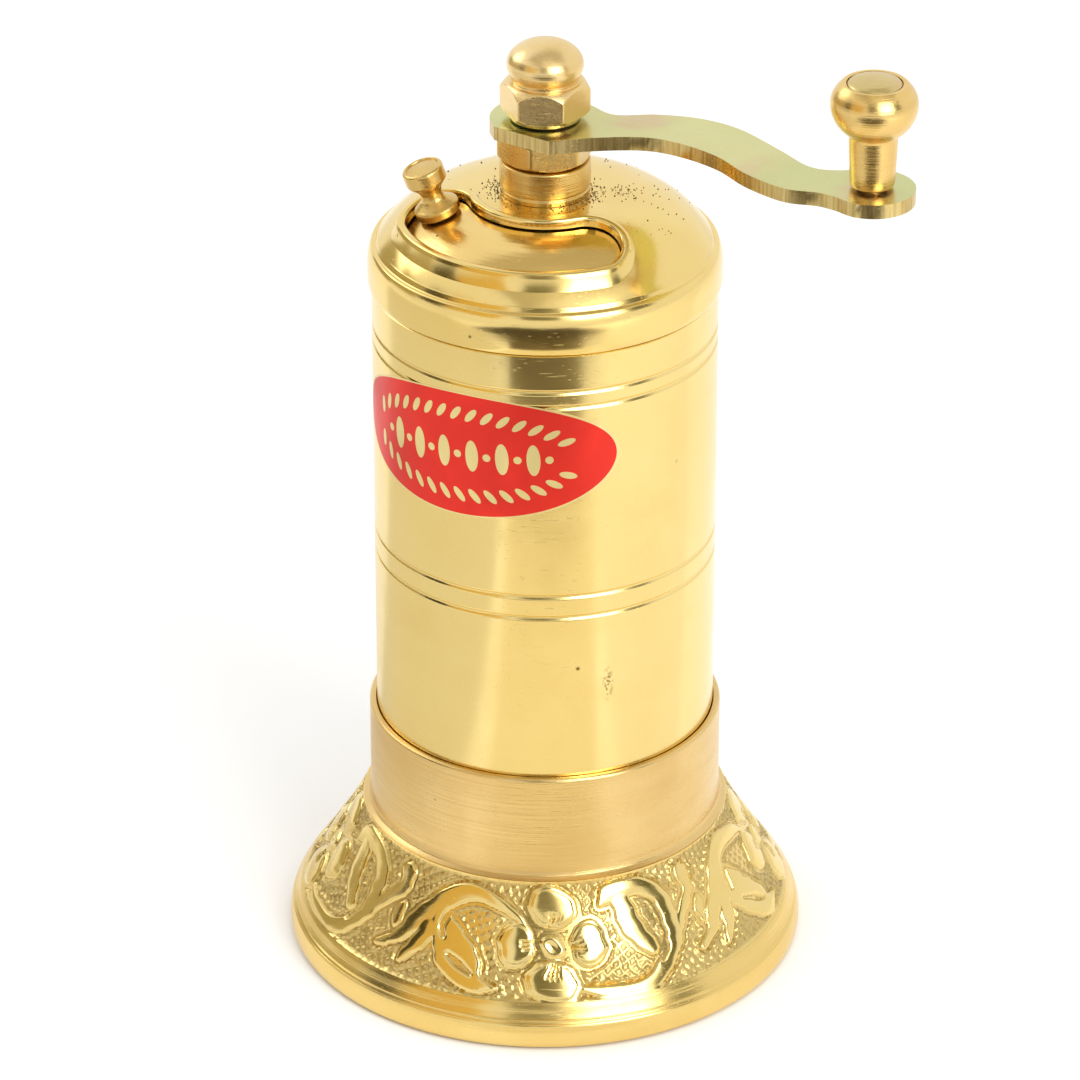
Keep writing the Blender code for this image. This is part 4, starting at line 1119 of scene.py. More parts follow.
@dataclass
class Housing:
    """The tube that lifts out of the band, with its cap, collar and fill door."""

    body_r: float = 27.5
    body_bore: float = 26.5
    body_foot: float = 22.5
    body_top: float = 117.0
    neck_r: float = 26.9
    neck_top: float = 121.6
    collar_r: float = 7.2
    collar_foot: float = 133.1
    collar_top: float = 138.42
    stem_r: float = 5.4
    stem_foot: float = 124.3
    shaft_bore: float = 4.2
    grooves: tuple[float, ...] = (110.7, 108.1, 74.8, 71.05)
    dome: Dome = field(default_factory=Dome)
    slot: Slot = field(default_factory=Slot)

    def tube(self) -> Object:
        """The tube, with rounded grooves turned into it in two pairs."""
        r = self.body_r
        profile: Profile = [(self.neck_r - 1.0, self.neck_top), (self.neck_r, self.neck_top)]
        profile += [(self.neck_r, self.body_top), (r - 0.15, self.body_top)]
        profile += [(r, self.body_top - 0.15)]
        for height in self.grooves:
            for k in range(9):
                step = (k - 4) / 4
                dip = 0.24 * (0.5 + 0.5 * math.cos(math.pi * step))
                ridge = 0.03 * hump(abs(step), 0.95, 0.22)
                profile.append((r - dip + ridge, height - 0.55 * step))
        profile += [(r, self.body_foot + 0.2), (r - 0.2, self.body_foot)]
        profile += [(self.body_bore, self.body_foot), (self.body_bore, self.body_top - 0.6)]
        profile += [(self.neck_r - 1.0, self.body_top)]
        return lathe("polished_tube", profile, 320)

    def cap(self) -> Object:
        """The cap: crown, beaded edge, groove and bulging skirt, with the slot cut through."""
        hole = self.stem_r + GAP
        crown = self.dome.line(hole, 26.25, 0.0, 44)
        crown[0] = (hole, crown[0][1])
        skirt = smooth_line(
            [
                (26.25, self.dome.height(26.25)), (26.42, 124.75), (26.6, 124.42), (26.78, 124.12),
                (26.98, 124.0), (27.2, 124.02), (27.45, 123.9), (27.68, 123.5), (27.88, 122.9),
                (28.05, 122.1), (28.13, 121.2), (28.15, 120.2), (28.15, 119.2), (28.13, 118.3),
                (28.02, 117.7), (27.8, 117.38), (27.5, 117.3),
            ],
            3,
        )
        neck_r, foot, under = self.neck_r + GAP, self.body_top + GAP, self.neck_top + GAP
        inside = self.dome.line(hole, 26.6, 1.0, 14)[::-1]
        profile = crown[:-1] + skirt + [(neck_r, foot), (neck_r, under)]
        profile += [(inside[0][0], under)] + inside[:-1]
        profile.append((hole, inside[-1][1]))
        cap = lathe("domed_cap", profile, 288)
        return cut(cap, plate("slot_cutter", [self.slot.outline(48)], 122.0, 138.0))

    def collar(self) -> Object:
        """The turned collar, with the fine groove near its foot."""
        r, foot, top = self.collar_r, self.collar_foot, self.collar_top
        profile = rounded(
            [
                (self.shaft_bore, top, 0.1), (r - 0.15, top, 0.1), (r, top - 0.2, 0.1),
                (r, foot + 1.2, 0.12), (r - 0.28, foot + 1.0, 0.1), (r - 0.28, foot + 0.75, 0.1),
                (r - 0.08, foot + 0.55, 0.15), (r - 0.1, foot - 0.18, 0.05),
                (self.stem_r, foot - 0.18, 0.0), (self.stem_r, self.stem_foot, 0.2),
                (self.shaft_bore, self.stem_foot, 0.1),
            ]
        )
        return lathe("turned_collar", profile, 128)

    def door(self) -> Object:
        """The sector plate under the crown, with the ring it turns on."""
        bore, top, thick = self.stem_r + GAP, 1.3, 0.8
        upper = self.dome.line(bore, 24.6, top, 24)
        lower = self.dome.line(bore, 24.6, top + thick, 24)[::-1]
        upper[0], lower[-1] = (bore, upper[0][1]), (bore, lower[-1][1])
        plate_ring = lathe("door_disc", upper + lower, 256)
        reach = math.degrees(self.slot.half_width / self.slot.middle_r) + 4.0
        first, last = self.slot.start_deg - reach, self.slot.end_deg + reach
        waste = arc(9.0, last, first + 360.0, 48) + arc(40.0, first + 360.0, last, 48)
        return cut(plate_ring, plate("door_waste", [waste], 115.0, 140.0))

    def door_knob(self) -> Object:
        """The spool-shaped knob, square to the door at the slot's far end."""
        top, neck, head = 8.8, 1.75, 3.3
        flange = self.slot.half_width - 1.45
        profile = [(0.0, top)] + rounded(
            [
                (head * 0.8, top - 0.02, 0.4), (head, top - 0.35, 0.3), (head, top - 2.55, 0.3),
                (head - 0.3, top - 2.9, 0.3), (neck + 0.35, top - 3.8, 0.5), (neck, top - 4.6, 0.4),
                (neck + 0.1, 3.0, 0.5), (flange - 0.6, 2.1, 0.4), (flange, 1.7, 0.25),
                (flange, 0.45, 0.2), (flange - 0.3, 0.25, 0.1), (1.1, 0.25, 0.0), (1.1, -1.8, 0.1),
                (0.0, -1.8, 0.0),
            ]
        )
        knob = lathe("spool_knob", profile, 96, poles=True)
        middle = self.slot.middle_r
        angle = self.slot.start_deg - math.degrees(1.0 / middle)
        r, z = self.dome.under(middle, 1.3)
        x, y = polar(r, angle)
        lean = Matrix.Rotation(math.radians(angle), 4, "Z") @ Matrix.Rotation(
            math.atan(self.dome.slope(middle)), 4, "Y"
        )
        knob.data.transform(Matrix.Translation((x * MM, y * MM, z * MM)) @ lean)
        return knob

    def build(self, finishes: Finishes) -> None:
        """Make and place the housing's pieces."""
        polished, satin = finishes["polished"], finishes["satin"]
        dress(self.tube(), polished, Body.MILL, ("body_tube",))
        dress(self.cap(), finishes["cap"], Body.MILL, ("top_cap",), 50.0)
        dress(self.slot.lip(self.dome), finishes["cap"], Body.MILL, (), 70.0)
        dress(self.collar(), satin, Body.MILL, ("cap_collar",))
        dress(self.door(), finishes["door"], Body.DOOR, ("door_plate",))
        dress(self.door_knob(), satin, Body.DOOR, ("door_knob",))


# ---- Crank --------------------------------------------------------------------------------------


@dataclass
class Crank:
    """The arm with its nuts, and the knob that spins on its end."""

    arm_length: float = 56.2
    arm_deg: float = -27.7
    arm_foot: float = 142.9
    arm_top: float = 145.2
    hub_r: float = 8.7
    end_r: float = 6.75
    nut_foot: float = 138.6
    nut_h: float = 4.0
    nut_af: float = 13.5
    nut_flat_deg: float = -77.5
    acorn_foot: float = 146.5
    acorn_af: float = 12.5
    acorn_hex_h: float = 5.1
    acorn_h: float = 11.7
    acorn_r: float = 6.05
    acorn_waist: float = 5.3
    acorn_flat_deg: float = -97.0
    shaft_bore: float = 4.2
    washer_r: float = 5.6
    knob_h: float = 16.8
    knob_r: float = 6.75
    pin_r: float = 2.0

    def knob_axis(self) -> tuple[float, float]:
        """Where the knob's axis stands."""
        return polar(self.arm_length, self.arm_deg)

    def outline(self) -> Profile:
        """The arm's S-shaped edge, along +X before it is turned."""
        length = self.arm_length
        back = (
            (0.165, 5.9), (0.27, 9.1), (0.39, 10.8), (0.515, 10.0), (0.67, 5.9), (0.79, 2.4),
            (0.87, 3.1),
        )
        front = (
            (0.885, -5.7), (0.79, -6.7), (0.66, -4.6), (0.54, -0.9), (0.41, 0.8), (0.3, 0.2),
            (0.17, -4.0),
        )
        points = arc(self.hub_r, 56.0, 232.0, 8)
        corners = {len(points) - 1, len(points)}
        points.append((self.hub_r * 0.56, -self.hub_r * 0.92))
        points += [(share * length, side) for share, side in reversed(front)]
        corners.add(len(points))
        points += arc(self.end_r, 120.0, -118.0, 8, (length, 0.0))[::-1]
        points += [(share * length, side) for share, side in reversed(back)]
        out: Profile = []
        count = len(points)
        for i in range(count):
            p1, p2 = points[i], points[(i + 1) % count]
            p0 = p1 if i in corners else points[i - 1]
            p3 = p2 if (i + 1) % count in corners else points[(i + 2) % count]
            out += [catmull(p0, p1, p2, p3, k / 9) for k in range(9)]
        return out

    def arm(self) -> Object:
        """The sheared plate arm, with its edges broken."""
        hub_hole = arc(self.shaft_bore, 0.0, 360.0, 48)[:-1]
        pin_hole = arc(self.pin_r + GAP, 0.0, 360.0, 36, (self.arm_length, 0.0))[:-1]
        arm = plate("s_arm", [self.outline(), hub_hole, pin_hole], self.arm_foot, self.arm_top)
        arm = bevelled(arm, 0.3)
        arm.data.transform(Matrix.Rotation(math.radians(self.arm_deg), 4, "Z"))
        return arm

    def lock_nut(self) -> Object:
        """The nut under the arm, chamfered at its foot."""
        foot, top, half = self.nut_foot - 0.1, self.nut_foot + self.nut_h + 0.15, self.nut_af / 2
        wide = self.nut_af / math.sqrt(3.0) + 0.1
        profile: Profile = [(self.shaft_bore, top), (half - 0.1, top), (wide - 0.35, top)]
        profile += [(wide - 0.1, top - 0.12), (wide, top - 0.3)]
        profile += [(wide, top - 0.3 - (self.nut_h - 1.4) * k / 6) for k in range(1, 7)]
        profile += [(wide - 1.45 * k / 12, foot + 1.1 * (1 - k / 12)) for k in range(1, 13)]
        profile += [(self.shaft_bore, foot)]
        return hex_lathe("lock_nut_hex", profile, self.nut_af, self.nut_flat_deg, 240)

    def washer(self) -> Object:
        """The plain washer over the arm."""
        bore, foot, edge = self.shaft_bore, self.arm_top + GAP, self.washer_r
        top = foot + 0.7
        profile = rounded(
            [(bore, top, 0.1), (edge, top, 0.12), (edge, foot, 0.12), (bore, foot, 0.1)]
        )
        return lathe("plain_washer", profile, 96)

    def acorn(self) -> Object:
        """The domed nut: chamfered hexagon, waist and flattened ball."""
        foot, half = self.acorn_foot, self.acorn_af / 2
        hex_top, top = foot + self.acorn_hex_h, foot + self.acorn_h
        wide = self.acorn_af / math.sqrt(3.0) + 0.1
        middle = hex_top + 2.8
        profile: Profile = [(0.0, top)]
        r, waist, rows = self.acorn_r, self.acorn_waist, 14
        for k in range(1, rows + 1):
            angle = math.pi / 2 * (1 - k / rows)
            profile.append((r * math.cos(angle), middle + (top - middle) * math.sin(angle)))
        throat = [(r, middle), (r - 0.08, middle - 0.7), (r - 0.4, middle - 1.5)]
        throat += [(waist + 0.03, middle - 2.1), (waist, hex_top + 0.15)]
        profile += smooth_line(throat, 4)[1:]
        profile += [(waist + 0.12, hex_top)]
        start, spread_out = half - 0.35, wide - half + 0.35
        for share in (k / 12 for k in range(13)):
            profile.append((start + spread_out * share, hex_top - 1.55 * share**1.3))
        profile += [(wide, hex_top - 1.55 - (self.acorn_hex_h - 2.2) * k / 6) for k in range(1, 7)]
        profile += [(wide - 0.65 * k / 6, foot + 0.65 * (1 - k / 6)) for k in range(1, 7)]
        profile += [(self.shaft_bore, foot), (self.shaft_bore, foot + 6.9), (0.0, foot + 6.9)]
        return hex_lathe("domed_nut", profile, self.acorn_af, self.acorn_flat_deg, 240, poles=True)

    def knob(self) -> Object:
        """The turned knob: tapered neck under a flattened ball with a flat top."""
        foot = self.arm_top + 0.5
        top = foot + self.knob_h
        neck_top, bore = foot + 8.4, self.pin_r + GAP
        middle = neck_top + 5.0
        neck_r, foot_r, top_r = 3.8, 3.45, 4.95
        profile: Profile = [(bore, top - 1.05), (4.35, top - 1.05), (4.35, top - 0.1), (4.5, top)]
        start = math.acos(top_r / self.knob_r)
        for k in range(13):
            angle = start * (1 - k / 12)
            rise = (top - middle) * math.sin(angle) / math.sin(start)
            profile.append((self.knob_r * math.cos(angle), middle + rise))
        end = math.acos((neck_r + 0.45) / self.knob_r)
        for k in range(1, 13):
            angle = end * k / 12
            drop = (middle - neck_top - 0.25) * math.sin(angle) / math.sin(end)
            profile.append((self.knob_r * math.cos(angle), middle - drop))
        profile += [(neck_r + 0.12, neck_top + 0.05), (neck_r, neck_top - 0.4)]
        profile += [(neck_r - 0.12, neck_top - 3.5), (foot_r + 0.02, foot + 0.5)]
        profile += [(foot_r - 0.1, foot + 0.1), (foot_r - 0.3, foot), (bore, foot)]
        return self.on_knob_axis(lathe("ball_knob", profile, 160))

    def pin(self) -> Object:
        """The knob's pin: domed head above, riveted tail under the arm."""
        top = self.arm_top + 0.5 + self.knob_h + 0.75
        tail = self.arm_foot - GAP
        head = (
            (0.0, 0.0), (1.2, 0.04), (2.3, 0.16), (3.2, 0.36), (3.9, 0.62), (4.17, 0.9), (4.2, 1.5),
        )
        rivet = ((3.1, 0.0), (3.0, 0.35), (2.2, 0.85), (1.1, 1.0), (0.0, 1.0))
        profile = [(r, top - drop) for r, drop in head]
        profile += [(self.pin_r, top - 1.5), (self.pin_r, tail)]
        profile += [(r, tail - drop) for r, drop in rivet]
        return self.on_knob_axis(lathe("knob_pin_rivet", profile, 96, poles=True))

    def on_knob_axis(self, obj: Object) -> Object:
        """Move a piece turned about Z onto the knob's axis."""
        x, y = self.knob_axis()
        obj.data.transform(Matrix.Translation((x * MM, y * MM, 0.0)))
        return obj

    def build(self, finishes: Finishes) -> None:
        """Make and place the crank's pieces."""
        satin = finishes["satin"]
        dress(self.lock_nut(), satin, Body.CRANK, ("lock_nut",), 25.0)
        dress(self.arm(), finishes["plated"], Body.CRANK, ("crank_arm",), 14.0)
        dress(self.washer(), finishes["plated"], Body.CRANK, ("crank_washer",))
        dress(self.acorn(), finishes["acorn"], Body.CRANK, ("acorn_nut",), 25.0)
        dress(self.pin(), finishes["pin"], Body.CRANK, ("knob_pin",))
        dress(self.knob(), finishes["knob"], Body.KNOB, ("crank_knob",))


# ---- Label and crumbs ---------------------------------------------------------------------------


class GeometryTree:
    """Geometry nodes that set painted copies of one mesh on points."""

    def __init__(self, name: str, inputs: tuple[tuple[str, str, float], ...]) -> None:
        """Open a tree that takes a geometry, some numbers and a material called Finish.

        Args:
            name: The tree's name.
            inputs: Each number's label, kind (Int or Float) and default.
        """
        self.tree = bpy.data.node_groups.new(name, "GeometryNodeTree")
        face = self.tree.interface
        face.new_socket("Geometry", in_out="INPUT", socket_type="NodeSocketGeometry")
        for label, kind, value in inputs:
            made = face.new_socket(label, in_out="INPUT", socket_type="NodeSocket" + kind)
            made.default_value = value
        face.new_socket("Finish", in_out="INPUT", socket_type="NodeSocketMaterial")
        face.new_socket("Geometry", in_out="OUTPUT", socket_type="NodeSocketGeometry")
        self.entry = self.tree.nodes.new("NodeGroupInput").outputs

    def add(self, kind: str, inputs: dict, **settings) -> bpy.types.NodeOutputs:
        """Add a node.

        Args:
            kind: The node's type.
            inputs: A value or a socket for each input, by its name or number.
            **settings: The node's own settings.

        Returns:
            Its outputs.
        """
        made = self.tree.nodes.new(kind)
        for name, value in settings.items():
            setattr(made, name, value)
        for label, value in inputs.items():
            feed(self.tree, made.inputs[label], value)
        return made.outputs

    def place(self, points, shape, rotation, scale) -> Tree:
        """Set a copy of the shape on each point, realize and paint the copies, and finish."""
        copies = self.add(
            "GeometryNodeInstanceOnPoints",
            {"Points": points, "Instance": shape, "Rotation": rotation, "Scale": scale},
        )
        real = self.add("GeometryNodeRealizeInstances", {"Geometry": copies["Instances"]})
        paint = self.add(
            "GeometryNodeSetMaterial",
            {"Geometry": real["Geometry"], "Material": self.entry["Finish"]},
        )
        self.add("NodeGroupOutput", {"Geometry": paint["Geometry"]})
        return self.tree


def marks_tree() -> Tree:
    """Geometry nodes that set small leaf marks along a path.

    Returns:
        A tree with inputs for the marks' count, length, width, lean and material.
    """
    numbers = (("Count", "Int", 10), ("Length", "Float", 0.002), ("Width", "Float", 0.001))
    build = GeometryTree("marks_on_path", (*numbers, ("Lean", "Float", 0.0)))
    entry, add = build.entry, build.add
    path = add("GeometryNodeMeshToCurve", {"Mesh": entry["Geometry"]})
    even = add(
        "GeometryNodeCurveToPoints", {"Curve": path["Curve"], "Count": entry["Count"]}, mode="COUNT"
    )
    disc = add("GeometryNodeMeshCircle", {"Vertices": 20, "Radius": 0.5}, fill_type="NGON")
    size = add("ShaderNodeCombineXYZ", {"X": entry["Length"], "Y": entry["Width"], "Z": 1.0})
    along = add(
        "FunctionNodeAlignRotationToVector", {"Vector": even["Tangent"]}, axis="X", pivot_axis="Z"
    )
    amount = add("ShaderNodeCombineXYZ", {"Z": entry["Lean"]})
    leaning = add("FunctionNodeEulerToRotation", {0: amount[0]})
    turned = add(
        "FunctionNodeRotateRotation",
        {"Rotation": along["Rotation"], "Rotate By": leaning[0]},
        rotation_space="LOCAL",
    )
    return build.place(even["Points"], disc["Mesh"], turned[0], size[0])


def crumbs_tree() -> Tree:
    """Geometry nodes that scatter small lumps on a surface.

    Returns:
        A tree with inputs for density, smallest and largest size, seed and material.
    """
    sizes = (("Smallest", "Float", 0.5), ("Largest", "Float", 1.5))
    numbers = (("Density", "Float", 100000.0), *sizes, ("Seed", "Int", 7))
    build = GeometryTree("crumbs_on_surface", numbers)
    entry, add = build.entry, build.add
    thick = add("GeometryNodeInputNamedAttribute", {"Name": "thickness"}, data_type="FLOAT")
    share = {0: entry["Density"], 1: thick["Attribute"]}
    density = add("ShaderNodeMath", share, operation="MULTIPLY")
    scatter = add(
        "GeometryNodeDistributePointsOnFaces",
        {"Mesh": entry["Geometry"], "Density": density[0], "Seed": entry["Seed"]},
    )
    lump = add("GeometryNodeMeshIcoSphere", {"Radius": 0.0001, "Subdivisions": 1})
    limits = {0: entry["Smallest"], 1: entry["Largest"], "Seed": entry["Seed"]}
    size = add("FunctionNodeRandomValue", limits, data_type="FLOAT_VECTOR")
    turn = add("FunctionNodeRandomValue", {1: (6.28, 6.28, 6.28)}, data_type="FLOAT_VECTOR")
    return build.place(scatter["Points"], lump["Mesh"], turn["Value"], size["Value"])


def run_tree(obj: Object, tree: Tree, values: dict) -> Object:
    """Run a geometry tree on an object.

    Args:
        obj: The object whose mesh is the tree's input.
        tree: The tree.
        values: A value for each of its inputs, by name.

    Returns:
        A plain mesh object with the result.
    """
    modifier = obj.modifiers.new(tree.name, "NODES")
    modifier.node_group = tree
    for item in tree.interface.items_tree:
        if item.item_type == "SOCKET" and item.in_out == "INPUT" and item.name in values:
            modifier[item.identifier] = values[item.name]
    return baked(obj)


@dataclass
class Label:
    """The oval foil label wrapped round the tube, with a plain ornament in gold."""

    tube_r: float = 27.5
    half_length: float = 26.4
    half_height: float = 10.7
    centre_deg: float = 240.2
    centre_h: float = 98.5
    tilt_deg: float = 2.5
    border: float = 0.022
    thickness: float = 0.05
    arch_along: float = 0.74
    arch_up: float = 0.66

    def wrap(self, points: np.ndarray) -> np.ndarray:
        """Wrap flat points round the tube.

        Args:
            points: (along, up, out) in millimetres, out from the tube's face.

        Returns:
            The points in place.
        """
        tilt = math.radians(self.tilt_deg)
        along = points[:, 0] * math.cos(tilt) - points[:, 1] * math.sin(tilt)
        up = points[:, 0] * math.sin(tilt) + points[:, 1] * math.cos(tilt)
        angle = math.radians(self.centre_deg) + along / self.tube_r
        radius = self.tube_r + points[:, 2]
        return np.stack(
            [radius * np.cos(angle), radius * np.sin(angle), self.centre_h + up], -1
        )

    def oval(
        self, name: str, inner: float, outer: float, low: float, high: float
    ) -> Object:
        """A closed thin oval or oval ring.

        Args:
            name: The piece's name.
            inner: Inner edge as a share of the oval, or 0 for none.
            outer: Outer edge as a share of the oval.
            low: Its underside, out from the tube's face.
            high: Its upper side.

        Returns:
            The wrapped piece.
        """
        turn = np.linspace(0.0, 2 * math.pi, 160, endpoint=False)
        shares = np.linspace(inner, outer, 4 if inner else 28)
        loops = [(share, high) for share in shares] + [(share, low) for share in shares[::-1]]
        rows = []
        for share, out in loops:
            along = self.half_length * share * np.cos(turn)
            up = self.half_height * share * np.sin(turn)
            rows.append(self.wrap(np.stack([along, up, np.full(turn.shape, out)], -1)))
        return grid_piece(name, np.array(rows), wrap_rows=bool(inner))

    def marks(
        self, name: str, path: Profile, tree: Tree, values: dict
    ) -> Object:
        """A row of small leaves along a flat path, wrapped round the tube.

        Args:
            name: The piece's name.
            path: (along, up) in millimetres.
            tree: The tree that sets the leaves.
            values: Its inputs: count, length, width, lean and finish.

        Returns:
            The wrapped piece.
        """
        mesh = bpy.data.meshes.new(name)
        edges = [(i, i + 1) for i in range(len(path) - 1)]
        mesh.from_pydata([(x, y, 0.0) for x, y in path], edges, [])
        obj = run_tree(linked(name, mesh), tree, values)
        model = bmesh.new()
        model.from_mesh(obj.data)
        bmesh.ops.poke(model, faces=model.faces)
        made = bmesh.ops.extrude_face_region(model, geom=model.faces[:])
        lifted = [g for g in made["geom"] if isinstance(g, bmesh.types.BMVert)]
        for vertex in model.verts:
            vertex.co.z = self.thickness + 0.005
        for vertex in lifted:
            vertex.co.z = self.thickness + 0.03
        model.to_mesh(obj.data)
        model.free()
        flat = np.array([v.co for v in obj.data.vertices])
        obj.data.vertices.foreach_set("co", (self.wrap(flat) * MM).astype(np.float32).ravel())
        obj.data.update()
        weld(obj)
        return obj

    def build(self, finishes: Finishes) -> None:
        """Make and place the label's layers."""
        tree = marks_tree()
        gold = finishes["foil_gold"]
        red = self.oval("label_field", 0.0, 1.0 - self.border, 0.012, self.thickness)
        edge = self.oval("label_border", 1.0 - self.border, 1.0, 0.012, self.thickness + 0.01)
        dress(red, finishes["foil_red"], Body.MILL)
        dress(edge, gold, Body.MILL)
        long, high = self.half_length * self.arch_along, self.half_height * self.arch_up
        upper = [(-long * math.cos(t), high * math.sin(t)) for t in np.linspace(0.42, 2.72, 40)]
        lower = [(x, -y) for x, y in upper]
        rows = (
            ("label_leaves_upper", upper, 15, 2.9, 1.15, 0.9),
            ("label_leaves_lower", lower, 15, 2.9, 1.15, -0.9),
            ("label_lozenges", [(-12.5, 0.0), (12.5, 0.0)], 6, 2.2, 5.4, 0.0),
            ("label_beads", [(-15.0, 0.0), (15.0, 0.0)], 7, 1.3, 1.3, 0.0),
        )
        for name, path, *sizes in rows:
            values = dict(zip(("Count", "Length", "Width", "Lean"), sizes), Finish=gold)
            dress(self.marks(name, path, tree, values), gold, Body.MILL)


@dataclass
class Crumbs:
    """Specks of ground pepper on the crown, thickest beside the collar."""

    seed: int = 11
    dome: Dome = field(default_factory=Dome)

    def patch(self) -> Object:
        """The stretch of crown that crumbs lie on, with how thick they lie."""
        angles = np.radians(np.linspace(-180.0, 180.0, 100))
        radii = np.linspace(7.3, 24.0, 40)
        points, thick = [], []
        for angle in angles:
            bearing = math.degrees(angle)
            heaped = hump(bearing, -38.0, 30.0) + 0.8 * hump(abs(bearing), 172.0, 22.0)
            clear_of_slot = -60.0 < bearing < 160.0
            for radius in radii:
                x, y = radius * math.cos(angle), radius * math.sin(angle)
                points.append((x * MM, y * MM, (self.dome.height(radius) + 0.03) * MM))
                near = math.exp(-((radius - 7.4) / 0.9)) * (0.18 + heaped)
                trail = hump(bearing, -2.0, 9.0) * hump(radius, 11.5, 3.2)
                dust = 0.010 * hump(radius, 19.0, 4.0)
                thick.append(near + (0.30 * trail + dust if clear_of_slot else 0.0))
        count = len(radii)
        faces = [
            (i * count + k, (i + 1) * count + k, (i + 1) * count + k + 1, i * count + k + 1)
            for i in range(len(angles) - 1)
            for k in range(count - 1)
        ]
        mesh = bpy.data.meshes.new("pepper_crumbs")
        mesh.from_pydata(points, [], faces)
        mesh.attributes.new("thickness", "FLOAT", "POINT").data.foreach_set("value", thick)
        return linked("pepper_crumbs", mesh)

    def build(self, finishes: Finishes) -> None:
        """Scatter the crumbs."""
        finish = finishes["crumb"]
        values = {"Density": 1.1e7, "Smallest": 0.5, "Largest": 1.7, "Seed": self.seed}
        crumbs = run_tree(self.patch(), crumbs_tree(), {**values, "Finish": finish})
        dress(crumbs, finish, Body.MILL)


# ---- Mechanism, studio and camera ---------------------------------------------------------------


@dataclass
class Spring:
    """The spring on the shaft: a coil of wire between its foot and its top."""

    coil_r: float = 5.9
    wire_r: float = 0.45
    turns: int = 3
    foot: float = 49.3
    top: float = 60.0
    lift: float = 0.5
    per_turn: int = 32

    def build(self, finishes: Finishes) -> None:
        """Make and place the spring."""
        curve = bpy.data.curves.new("grind_coil", "CURVE")
        curve.dimensions = "3D"
        curve.bevel_depth = self.wire_r * MM
        curve.bevel_resolution = 3
        curve.use_fill_caps = True
        spline = curve.splines.new("POLY")
        count = self.turns * self.per_turn
        spline.points.add(count)
        low, high = self.foot + self.wire_r, self.top - self.wire_r
        for k, point in enumerate(spline.points):
            x, y = polar(self.coil_r, 360.0 * k / self.per_turn)
            point.co = (x * MM, y * MM, (low + (high - low) * k / count) * MM, 1.0)
        coil = baked(linked("grind_coil", curve))
        weld(coil)
        dress(coil, finishes["steel"], Body.MILL, ("grind_spring",))
        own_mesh(coil)


@dataclass
class Mechanism:
    """The pieces inside, which keep their frame shapes and get real finishes."""

    steel: tuple[str, ...] = (
        "shaft_guide", "lower_bridge", "guide_screw_1", "guide_screw_2", "bridge_screw_1",
        "bridge_screw_2", "thrust_ball", "drive_shaft", "door_washer",
    )
    iron: tuple[str, ...] = ("inner_burr", "outer_burr")
    brass: tuple[str, ...] = (
        "burr_carrier", "door_retainer", "door_rivet_washer", "adjuster_screw",
    )

    def build(self, finishes: Finishes) -> None:
        """Give each piece its finish."""
        for names, finish in ((self.steel, "steel"), (self.iron, "iron"), (self.brass, "satin")):
            for name in names:
                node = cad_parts[name]
                node.data.materials.clear()
                node.data.materials.append(finishes[finish])
                LOG.info("%s keeps its frame shape, in %s", name, finish)


def rectangle(half_width: float, half_height: float) -> Profile:
    """The corners of a rectangle round the origin."""
    w, h = half_width, half_height
    return [(-w, -h), (w, -h), (w, h), (-w, h)]


